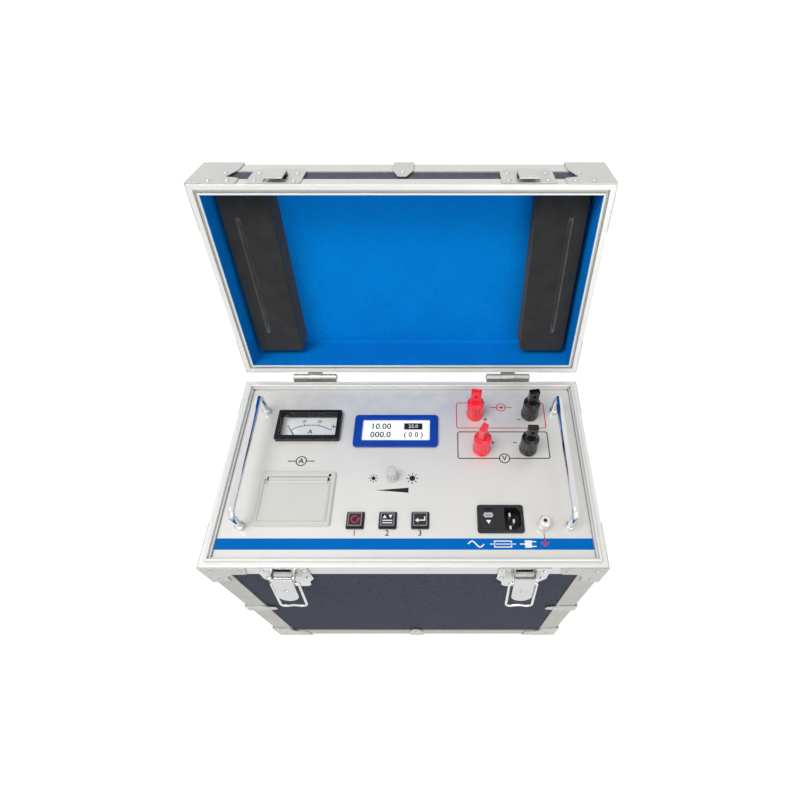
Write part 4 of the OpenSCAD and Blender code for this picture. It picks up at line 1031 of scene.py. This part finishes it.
class Assembly:
    """A sub-assembly: the pieces that it adds, and what its CAD nodes wear."""

    WEAR: Wear = {}

    def build(self) -> None:
        """Add nothing: the solids have these shapes already."""

    def dress(self) -> None:
        """Give the CAD nodes their finishes."""
        for finish, nodes in self.WEAR.items():
            for name in nodes:
                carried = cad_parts[name]
                if not carried.material_slots:
                    carried.data.materials.append(PALETTE.get(finish))
                for each in carried.material_slots:
                    each.material = PALETTE.get(finish)
                log.info("dressed %s in %s", name, finish)


class CaseShell(Assembly):
    """The base: boards, profiles, corner fittings, feet and carrying handles."""

    WEAR = {
        "board_laminate": ("case_wall_boards", "case_floor_board"),
        "rim_aluminium": ("base_rim_profiles",),
        "edge_aluminium": ("base_edge_profiles",),
        "pressed_steel": ("base_corner_fittings", "side_handle_brackets", "hinge_base_leaves"),
        "rubber": ("rubber_feet",),
        "zinc_screw": ("case_screws",),
        "grip_plastic": ("side_handle_left", "side_handle_right"),
    }


@dataclass
class Latches(Assembly):
    """Two draw latches, each with a plate, a lever, a wire bail and a catch on the lid."""

    WEAR = {
        "latch_steel": ("latch_plates", "latch_lever_left", "latch_lever_right"),
        "bright_wire": ("latch_bail_left", "latch_bail_right"),
        "lid_steel": ("latch_catches",),
    }
    x: float = 119.0
    # A painted shadow: a thin dark sheet of these sizes on each plate, above its lever.
    face: float = -113.5
    shadow_w: float = 17.0
    shadow_h: float = 6.4
    shadow_z: float = 320.8
    shadow_t: float = 0.3
    shadow_r: float = 1.4

    def build(self) -> None:
        """Lay a thin dark sheet on each plate above its lever: a painted shadow for the gap there."""
        for side, place in ((-1, "left"), (1, "right")):
            mesh = new_box((self.shadow_w, self.shadow_t, self.shadow_h), (side * self.x, self.face, self.shadow_z))
            ease(mesh, [e for e in mesh.edges if run(e).y > self.shadow_t / 2], self.shadow_r, 4)
            Shop("case").deliver(f"latch_painted_shadow_{place}", mesh, "slot_shadow")


@dataclass
class Lid(Assembly):
    """The lid with its blue lining and two foam pads."""

    WEAR = {
        "lid_laminate": ("lid_boards",),
        "lid_rim_aluminium": ("lid_rim_profiles",),
        "lid_edge_aluminium": ("lid_edge_profiles",),
        "lid_steel": ("lid_corner_fittings", "hinge_lid_leaves"),
    }
    lining_t: float = 2.0
    tray_t: float = 1.98
    gap: float = 0.05
    hem_t: float = 0.42
    hem_low: float = 329.0
    corner_r: float = 4.0
    pad_w: float = 52.0
    pad_d: float = 190.0
    pad_face: float = 348.0
    border_r: float = 1.4
    crease_w: float = 5.0
    crease_bed: float = 0.8
    crease_deep: float = 6.0
    crease_low: float = -72.0
    crease_high: float = 68.0
    crease_run: float = 9.0
    lip_r: float = 1.2

    def shell(self, low: float, high: float, wall: float, shut: bool) -> Mesh:
        """Return a lined wall all round the inside of the lid.

        Args:
            low: Its lower end.
            high: Its upper end.
            wall: Its thickness.
            shut: Whether a ceiling closes it, with soft folds.

        Returns:
            The mesh.
        """
        size = [s - 2 * (LAYOUT.board_face + self.lining_t) for s in (LAYOUT.case_w, LAYOUT.case_d)]
        mesh = new_box((*size, high - low), (0, 0, (high + low) / 2))
        mouths = [f for f in mesh.faces if abs(f.normal.z) > 0.9 and (f.normal.z < 0 or not shut)]
        bmesh.ops.delete(mesh, geom=mouths, context="FACES_ONLY")
        if shut:
            ease(mesh, [e for e in mesh.edges if len(e.link_faces) == 2], self.corner_r, 4)
        bmesh.ops.reverse_faces(mesh, faces=mesh.faces)
        bmesh.ops.solidify(mesh, geom=list(mesh.faces), thickness=wall)
        bmesh.ops.recalc_face_normals(mesh, faces=mesh.faces)
        return mesh

    def lining(self) -> bpy.types.Object:
        """Make the velvet lining, and its hem that is glued down over the rim's inner leg.

        Returns:
            The lining.
        """
        tray = self.shell(LAYOUT.lining_low, LAYOUT.lid_ceiling - self.lining_t, self.tray_t, True)
        hem = self.shell(self.hem_low, LAYOUT.lining_low, self.hem_t, False)
        whole = joined([tray, hem])
        piece = Shop("lid", Space.LID).deliver("lid_lining_velvet", whole, "blue_velvet", "lining", 60.0)
        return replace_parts(piece, "lid_lining")

    def crease(self, mesh: Mesh, off: float) -> None:
        """Press into a pad the crease that the panel handle leaves there.

        Args:
            mesh: The pad, with its open face on z = 0.
            off: Where the crease runs, in x.
        """
        half, bed, end, near = self.crease_w / 2, self.crease_bed, self.crease_run, 0.1
        low, high = self.crease_low, self.crease_high
        cuts = [((off + x, 0, 0), (1, 0, 0)) for x in (-half, -bed, bed, half)]
        cuts += [((0, y, 0), (0, 1, 0)) for y in (low, low + end, high - end, high)]
        for point, normal in cuts:
            everything = [*mesh.verts, *mesh.edges, *mesh.faces]
            bmesh.ops.bisect_plane(mesh, geom=everything, dist=0.001, plane_co=point, plane_no=normal)
        inside = [v for v in mesh.verts if v.co.z < near and low + near < v.co.y < high - near]
        pressed = [v for v in inside if abs(v.co.x - off) < bed + near]
        bmesh.ops.translate(mesh, vec=(0, 0, self.crease_deep), verts=pressed)
        rims = {
            v for v in mesh.verts
            if v.co.z < near and low - near < v.co.y < high + near and abs(abs(v.co.x - off) - half) < near
        }
        ease(mesh, [e for e in mesh.edges if rims.issuperset(e.verts)], self.lip_r)

    def near_side(self, middle: Vector, reach: float) -> bool:
        """Return whether a point of a pad lies that close to one of its four sides."""
        return abs(middle.x) > self.pad_w / 2 - reach or abs(middle.y) > self.pad_d / 2 - reach

    def pad(self, side: int) -> bpy.types.Object:
        """Make one foam pad.

        Args:
            side: -1 on the left, 1 on the right.

        Returns:
            The pad.
        """
        tall = LAYOUT.lid_ceiling - self.lining_t - self.gap - self.pad_face
        mesh = new_box((self.pad_w, self.pad_d, tall), (0, 0, tall / 2))
        ease(mesh, [e for e in mesh.edges if run(e).z > tall / 2], self.corner_r, 4)
        off = (LAYOUT.handle_x - LAYOUT.pad_x) * side
        self.crease(mesh, off)
        border = [
            e for e in mesh.edges
            if e.calc_face_angle(0.0) > 0.9 and all(v.co.z < 0.01 for v in e.verts)
            and self.near_side((e.verts[0].co + e.verts[1].co) / 2, self.corner_r + 0.2)
        ]
        ease(mesh, border, self.border_r)
        bmesh.ops.triangulate(mesh, faces=[f for f in mesh.faces if len(f.verts) > 4])
        # Faces in the crease take the lighter second foam: a painted highlight.
        for face in mesh.faces:
            middle = face.calc_center_median()
            in_crease = 0.3 < middle.z < self.crease_deep + 0.1 and abs(middle.x - off) < self.crease_w / 2
            face.material_index = int(in_crease and not self.near_side(middle, 1.0))
        bmesh.ops.translate(mesh, vec=(side * LAYOUT.pad_x, 0, self.pad_face), verts=mesh.verts)
        name = "foam_pad_right" if side > 0 else "foam_pad_left"
        piece = Shop("lid", Space.LID).deliver(name, mesh, "black_foam", "foam", 50.0)
        piece.data.materials.append(PALETTE.get("crease_highlight_foam"))
        return piece

    def build(self) -> None:
        """Make the lining and both pads."""
        self.lining()
        pads = [self.pad(side) for side in (-1, 1)]
        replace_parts(pads[0], "lid_pads")
        for pad in pads:
            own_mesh(pad)


@dataclass
class Panel(Assembly):
    """The panel plate with its prints, handles, knob, inlet and earth post."""

    WEAR = {
        "panel_paint": ("panel_plate",),
        "chrome": ("panel_handles",),
        "chassis_zinc": ("chassis_frame",),
        "dark_plastic": ("control_bodies",),
        "knob_plastic": ("brightness_knob",),
        "socket_plastic": ("inlet_body", "fuse_drawer"),
        "plated_post": ("inlet_pins",),
    }
    stripe_y: float = -88.2
    stripe_half: tuple[float, float] = (189.5, 5.8)
    current_outline: tuple[Point, ...] = (
        (84, 83.5), (56, 83.5), (54.5, 81.5), (54.5, 50), (56, 48.5),
        (156, 48.5), (157.5, 50), (157.5, 81.5), (156, 83.5), (150, 83.5),
    )
    potential_outline: tuple[Point, ...] = (
        (99, 8.9), (57, 8.9), (55.5, 10.4), (55.5, 41.7), (57, 43.2),
        (156.1, 43.2), (157.6, 41.7), (157.6, 10.4), (156.1, 8.9), (115, 8.9),
    )
    plus_at: tuple[Point, ...] = ((88, 60), (95, 29))
    minus_at: tuple[Point, ...] = ((127, 60), (120, 29))
    source_at: Point = (107.0, 77.0)
    source_r: float = 5.2
    source_wire: float = 13.0
    volts_at: Point = (107.0, 8.9)
    volts_wire: float = 8.0
    amps_at: Point = (-118.0, 5.5)
    amps_wire: float = 15.0
    meter_r: float = 5.6
    letter_size: float = 6.2
    dim_at: Point = (-36.5, -15.5)
    bright_at: Point = (5.5, -15.5)
    wedge: tuple[Point, ...] = ((-33, -29.5), (2, -32.4), (2, -26.6))
    number_y: float = -77.0
    number_size: float = 6.0
    ground_at: Point = (141.3, -69.3)
    ground_bars: tuple[float, ...] = (4.2, 2.8, 1.4)
    wave_x: float = 64.0
    wave_run: int = 16
    wave_h: float = 3.0
    fuse_x: float = 99.0
    fuse_half: tuple[float, float] = (8.5, 3.0)
    plug_x: float = 124.5
    plug_half: tuple[float, float] = (3.5, 3.8)
    prong: float = 2.4
    line_w: float = 1.1
    thin_w: float = 0.9

    def outlines(self) -> None:
        """Make the stripe and the outlines round the posts."""
        z = LAYOUT.panel_z
        Pen(z).fill(*corners(0.0, self.stripe_y, *self.stripe_half)).deliver("stripe_print", "ink_blue")
        Pen(z, self.line_w).line(*self.current_outline).deliver("current_outline_print", "ink_red")
        Pen(z, self.line_w).line(*self.potential_outline).deliver("potential_outline_print", "ink_black")

    def polarity_signs(self) -> None:
        """Make the plus and minus signs beside the posts."""
        pen, reach = Pen(LAYOUT.panel_z, self.thin_w), 2.2
        for x, y in (*self.plus_at, *self.minus_at):
            pen.line((x - reach, y), (x + reach, y))
        for x, y in self.plus_at:
            for way in (-1, 1):
                pen.line((x, y + way * pen.width / 2), (x, y + way * reach))
        pen.deliver("polarity_signs_print", "ink_black")

    def ground_mark(self) -> None:
        """Make the earth mark, from the earth post down over the stripe."""
        x, y = self.ground_at
        z, edge, bar = LAYOUT.panel_z, y - 14.2, y - 17.5
        lower = Pen(z, self.thin_w).line((x, y - 7), (x, edge))
        upper = Pen(z + PRINT_H, self.thin_w, drawn=lower.drawn).line((x, edge), (x, bar))
        for k, wide in enumerate(self.ground_bars):
            upper.line((x - wide, bar - 1.7 * k), (x + wide, bar - 1.7 * k))
        upper.deliver("earth_mark_print", "ink_red")

    def ringed(self, pen: Pen, at: Point, radius: float, wire: float, letter: str = "") -> None:
        """Draw a ring in a wire, as on a circuit drawing.

        Args:
            pen: The pen.
            at: The ring's middle.
            radius: Its radius.
            wire: How far the wire reaches from the middle, on both sides.
            letter: The letter in it.
        """
        x, y = at
        pen.line(*arc(x, y, radius, 0, 350, 30), closed=True)
        for way in (-1, 1):
            pen.line((x + way * radius, y), (x + way * wire, y))
        if letter:
            pen.text(letter, self.letter_size, at)

    def sun(self, pen: Pen, at: Point, radius: float, ray: float) -> None:
        """Draw a brightness sign with eight rays.

        Args:
            pen: The pen.
            at: Its middle.
            radius: The radius of its disc.
            ray: The length of its rays.
        """
        start = radius + 0.8
        pen.fill(*circle(*at, radius))
        for k in range(8):
            pen.line(*[polar(*at, r, 45 * k) for r in (start, start + ray)], width=self.thin_w)

    def control_signs(self) -> None:
        """Make the plain signs beside the controls: what each measures, sets or is."""
        pen = Pen(LAYOUT.panel_z, self.line_w)
        self.ringed(pen, self.volts_at, self.meter_r, self.volts_wire, "V")
        self.ringed(pen, self.amps_at, self.meter_r, self.amps_wire, "A")
        self.sun(pen, self.dim_at, 2.2, 1.9)
        self.sun(pen, self.bright_at, 3.2, 2.6)
        pen.fill(*self.wedge)
        for mark, x in zip("23", Buttons.xs[1:]):
            pen.text(mark, self.number_size, (x, self.number_y))
        pen.deliver("control_signs_print", "ink_black")

    def source_sign(self) -> None:
        """Make the current source's sign, a ring with an arrow in it, and the first number."""
        x, y = self.source_at
        pen = Pen(LAYOUT.panel_z, self.line_w)
        self.ringed(pen, self.source_at, self.source_r, self.source_wire)
        pen.line((x - 3.4, y), (x, y)).fill((x - 0.4, y - 2.6), (x + 3.4, y), (x - 0.4, y + 2.6))
        pen.text("1", self.number_size, (Buttons.xs[0], self.number_y))
        pen.deliver("source_sign_print", "ink_red")

    def feed_signs(self) -> None:
        """Make the signs on the stripe: an alternating wave, a fuse and a plug."""
        y, turn = self.stripe_y, 2 * math.pi / self.wave_run
        pen = Pen(LAYOUT.panel_z + PRINT_H, 1.2)
        wave = [(self.wave_x + k, y + self.wave_h * math.sin(k * turn)) for k in range(self.wave_run + 1)]
        pen.line(*wave, width=1.4)
        pen.line((self.fuse_x - 13, y), (self.fuse_x + 13, y), width=1.0)
        pen.line(*corners(self.fuse_x, y, *self.fuse_half), closed=True)
        back, front = (self.plug_x + way * self.plug_half[0] for way in (-1, 1))
        pen.fill(*corners(self.plug_x, y, *self.plug_half)).line((back - 5, y), (back, y))
        for way in (-1, 1):
            pen.line((front, y + way * self.prong), (front + 4.4, y + way * self.prong))
        pen.deliver("feed_signs_print", "ink_white")

    def fuse_sign(self) -> None:
        """Make the fuse's sign on its drawer, with a wedge that shows which way it pulls."""
        low, high = (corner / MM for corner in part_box("fuse_drawer"))
        x, y = (low.x + high.x) / 2, (low.y + high.y) / 2
        fuse = y + 3.5
        pen = Pen(high.z, self.thin_w, "fuse_drawer").line(*corners(x, fuse, 3.6, 1.9), closed=True)
        pen.line((x - 5.6, fuse), (x + 5.6, fuse), width=0.8)
        pen.fill((x - 2.6, y - 2.0), (x, y - 6.2), (x + 2.6, y - 2.0))
        pen.deliver("fuse_sign_print", "ink_white")

    def build(self) -> None:
        """Make the prints on the plate and on the fuse drawer."""
        self.outlines()
        self.control_signs()
        self.source_sign()
        self.feed_signs()
        self.fuse_sign()
        self.ground_mark()
        self.polarity_signs()


@dataclass(frozen=True)
class CapSign:
    """A button's sign, drawn about the middle of its cap: its ink, lines and filled shapes."""

    place: str
    ink: str
    width: float
    lines: tuple[Sequence[Point], ...]
    shapes: tuple[Sequence[Point], ...]
    height: float = PRINT_H


@dataclass
class Buttons(Assembly):
    """Three square push buttons, each with a sign and a rim printed on its cap."""

    WEAR = {"cap_plastic": ("button_left", "button_middle", "button_right")}
    xs: tuple[float, float, float] = (-51.4, -18.0, 15.4)
    y: float = -63.7
    top: float = 329.7
    rim: float = 6.6
    rim_w: float = 0.9
    signs: tuple[CapSign, ...] = (
        CapSign(
            "left", "ink_red", 1.1, (arc(0, 0, 3.6, 60, 360, 20),),
            (((1.9, -0.4), (5.3, -0.4), (3.6, 2.4)),), PRINT_H * 1.2,
        ),
        CapSign(
            "middle", "ink_white", 1.1, (((-5, -1.4), (5, -1.4)), ((-5, -4), (5, -4))),
            (((-5, 1), (-1, 1), (-3, 4.6)), ((3, 1), (5, 4.6), (1, 4.6))),
        ),
        CapSign(
            "right", "ink_white", 1.2, (((4.6, 3), (4.6, -1.2), (-2.6, -1.2)),),
            (((-5.2, -1.2), (-1.8, -3.6), (-1.8, 1.2)),), PRINT_H * 1.2,
        ),
    )

    def build(self) -> None:
        """Print each cap's sign and rim: a turned arrow, two heads over two bars, a return arrow."""
        for x, sign in zip(self.xs, self.signs):
            name = f"button_{sign.place}"
            pen = Pen(self.top, sign.width, name)
            for line in sign.lines:
                pen.line(*[(x + px, self.y + py) for px, py in line])
            for shape in sign.shapes:
                pen.fill(*[(x + px, self.y + py) for px, py in shape], height=sign.height)
            pen.deliver(f"{name}_sign", sign.ink)
            rim = Pen(self.top, self.rim_w, name).line(*corners(x, self.y, self.rim, self.rim), closed=True)
            rim.deliver(f"{name}_rim", "ink_grey")


@dataclass
class Meter(Assembly):
    """The moving-coil meter: housing, window, dial card and needle."""

    WEAR = {
        "black_plastic": ("meter_housing",),
        "clear_window": ("meter_window",),
        "dial_card": ("meter_movement",),
        "needle_paint": ("meter_needle",),
    }
    pivot_x: float = -115.5
    pivot_y: float = 13.5
    dial_z: float = 319.0
    scale_r: float = 42.5
    swing: float = 33.0
    marks: tuple[str, ...] = ("0", "10", "20", "30")
    parts: int = 15
    long_mark: float = 3.0
    short_mark: float = 1.6
    number_off: float = 5.8
    number_size: float = 3.6
    unit_y: float = 33.5
    unit_size: float = 5.6

    def build(self) -> None:
        """Print the dial: the arc with its long and short strokes, its numbers and its unit."""
        x, y = self.pivot_x, self.pivot_y
        pen = Pen(self.dial_z, 0.5)
        pen.line(*arc(x, y, self.scale_r, 90 - self.swing, 90 + self.swing, 40), width=0.7)
        per_mark = self.parts // (len(self.marks) - 1)
        for k in range(self.parts + 1):
            turn = 90 + self.swing - 2 * self.swing * k / self.parts
            long = k % per_mark == 0
            ends = (self.scale_r + 0.2, self.scale_r + (self.long_mark if long else self.short_mark))
            pen.line(*[polar(x, y, r, turn) for r in ends], width=0.8 if long else 0.5)
            if long:
                at = polar(x, y, self.scale_r + self.number_off, turn)
                pen.text(self.marks[k // per_mark], self.number_size, at, turn - 90)
        pen.text("A", self.unit_size, (x, y + self.unit_y))
        pen.line((x - 5, y + self.unit_y - 6), (x + 5, y + self.unit_y - 6), width=0.6)
        pen.deliver("meter_scale_print", "ink_black")


@dataclass
class Display(Assembly):
    """The display with its blue bezel and two rows of figures."""

    WEAR = {"blue_plastic": ("lcd_bezel",), "display_field": ("lcd_window",)}
    x: float = -15.0
    y: float = 43.5
    top: float = 327.4
    figure_h: float = 7.6
    count_h: float = 6.4
    chosen_h: float = 4.6
    left: float = -17.5
    row: float = 5.6
    block: tuple[float, float] = (10.5, 4.2)

    def build(self) -> None:
        """Make the two rows and the dark block that the chosen value stands in."""
        left, below = self.x + self.left, self.y - self.row
        rows = Pen(self.top).text("10.00", self.figure_h, (left, self.y + 5.4))
        rows.text("000.0", self.figure_h, (left, below)).text("( 0 0 )", self.count_h, (self.x + 20, below))
        rows.deliver("display_figures", "ink_black")
        at = (self.x + 19.5, self.y + self.row)
        Pen(self.top).fill(*corners(*at, *self.block)).deliver("display_block", "ink_black")
        Pen(self.top + PRINT_H).text("25.0", self.chosen_h, at).deliver("display_block_figures", "ink_white")


@dataclass
class Printer(Assembly):
    """The panel printer: frame with its lamp, door, platen and paper roll."""

    WEAR = {
        "printer_plastic": ("printer_frame", "printer_door"),
        "roller_rubber": ("platen_roller",),
        "paper": ("paper_roll",),
        "cast_mechanism": ("printer_mechanism",),
    }
    lamp_at: Point = (-83.2, -13.4)
    lamp_r: float = 1.5
    lamp_h: float = 0.5
    frame_z: float = 328.0

    def build(self) -> None:
        """Make the lamp on the frame."""
        lamp = slab(circle(*self.lamp_at, self.lamp_r), self.frame_z, self.lamp_h)
        brim = self.frame_z + 0.8 * self.lamp_h
        ease(lamp, [e for e in lamp.edges if all(v.co.z > brim for v in e.verts)], 0.3, 2)
        Shop("case").deliver("printer_lamp", lamp, "black_plastic")


class Terminals(Assembly):
    """Four posts in red and black, their studs and the earth post."""

    WEAR = {
        "red_plastic": ("terminal_collars_red", "current_cap_red", "potential_cap_red"),
        "post_black": ("terminal_collars_black", "current_cap_black", "potential_cap_black"),
        "plated_post": ("terminal_studs",),
        "brass": (
            "current_insert_red", "current_insert_black", "potential_insert_red", "potential_insert_black",
        ),
    }


class Interior(Assembly):
    """What the case holds below its panel."""

    WEAR = {
        "circuit_green": ("circuit_boards",),
        "coil_wire": ("transformer",),
        "black_fins": ("heat_sink",),
    }


@dataclass
class Studio:
    """Camera, lamps, world and floor, in metres and watts."""

    focus_px: float = 519.9
    centre_px: tuple[float, float] = (443.8, 399.6)
    image_px: int = 800
    sensor: float = 36.0
    eye: tuple[float, float, float] = (0.0396, -0.2676, 0.8355)
    pitch: float = 55.11
    aim: tuple[float, float, float] = (0.0, 0.0, 0.3)
    floor_half: float = 6.0
    floor_grey: tuple[float, float, float, float] = (0.16, 0.16, 0.16, 1.0)
    floor_glow: float = 0.91
    sky: tuple[float, float, float, float] = (0.97, 0.985, 1.0, 1.0)
    sky_light: float = 0.58

    def camera(self) -> None:
        """Set the camera at the photograph's viewing angle."""
        data = bpy.data.cameras.new("camera")
        data.sensor_width = self.sensor
        data.lens = self.focus_px / self.image_px * self.sensor
        data.shift_x = -(self.centre_px[0] - self.image_px / 2) / self.image_px
        data.shift_y = (self.centre_px[1] - self.image_px / 2) / self.image_px
        data.clip_start, data.clip_end = 0.02, 50.0
        camera = bpy.data.objects.new("camera", data)
        camera.location = self.eye
        camera.rotation_euler = (math.radians(90 - self.pitch), 0.0, 0.0)
        bpy.context.scene.collection.objects.link(camera)
        bpy.context.scene.camera = camera

    def by_ray(self, g: Graph, lit: Socket, seen: Socket) -> Socket:
        """Choose a shader by what a ray is for.

        Args:
            g: The nodes.
            lit: What lights the set.
            seen: What the camera, a mirror or glass shows.

        Returns:
            The shader.
        """
        path = g.node("LightPath").outputs
        direct = g.maths("MAXIMUM", path["Is Camera Ray"], path["Is Glossy Ray"])
        direct = g.maths("MAXIMUM", direct, path["Is Transmission Ray"])
        return g.node("MixShader", {0: direct, 1: lit, 2: seen}).outputs[0]

    def world(self) -> None:
        """Light the scene evenly from a white surround."""
        world = bpy.data.worlds.new("surround")
        bpy.context.scene.world = world
        g = Graph(world)
        lit, seen = (
            g.node("Background", {"Color": colour, "Strength": strength}).outputs[0]
            for colour, strength in ((self.sky, self.sky_light), (WHITE, 1.0))
        )
        g.close(self.by_ray(g, lit, seen))

    def lamp(self, name: str, at: Point, size: float, power: float) -> None:
        """Hang a soft square lamp that faces the set.

        Args:
            name: Its name.
            at: Its place.
            size: The side of the square.
            power: Its power.
        """
        data = bpy.data.lights.new(name, "AREA")
        data.shape = "SQUARE"
        data.size = size
        data.energy = power
        lamp = bpy.data.objects.new(name, data)
        lamp.location = at
        lamp.rotation_euler = (Vector(self.aim) - Vector(at)).to_track_quat("-Z", "Y").to_euler()
        bpy.context.scene.collection.objects.link(lamp)

    def floor(self) -> None:
        """Lay a white floor that keeps the set's shadow."""
        mesh = bmesh.new()
        bmesh.ops.create_grid(mesh, x_segments=1, y_segments=1, size=self.floor_half)
        data = bpy.data.meshes.new("floor")
        mesh.to_mesh(data)
        mesh.free()
        floor = bpy.data.objects.new("floor", data)
        bpy.context.scene.collection.objects.link(floor)
        white = bpy.data.materials.new("white_floor")
        g = Graph(white)
        shader = g.surface(Base_Color=self.floor_grey, Roughness=1.0, Specular_IOR_Level=0.0)
        dark, bright = (g.node("Emission", {"Strength": s}).outputs[0] for s in (0.0, self.floor_glow))
        g.close(g.node("AddShader", {0: shader, 1: self.by_ray(g, dark, bright)}).outputs[0])
        data.materials.append(white)

    def build(self) -> None:
        """Set up the camera, the floor, the surround and the lamps."""
        self.camera()
        self.floor()
        self.world()
        self.lamp("key", (-0.7, -0.5, 2.2), 1.0, 21.5)
        self.lamp("fill", (0.8, -1.8, 0.9), 1.6, 12.0)
        bpy.context.scene.view_settings.view_transform = "Standard"


def main() -> None:
    """Build the sub-assemblies in order."""
    logging.basicConfig(level=logging.INFO, format="%(name)s: %(message)s")
    Studio().build()
    shell = (CaseShell(), Latches(), Lid())
    controls = (Panel(), Buttons(), Meter(), Display(), Printer(), Terminals())
    for assembly in (*shell, *controls, Interior()):
        assembly.build()
        assembly.dress()


if __name__ == "__main__":
    main()
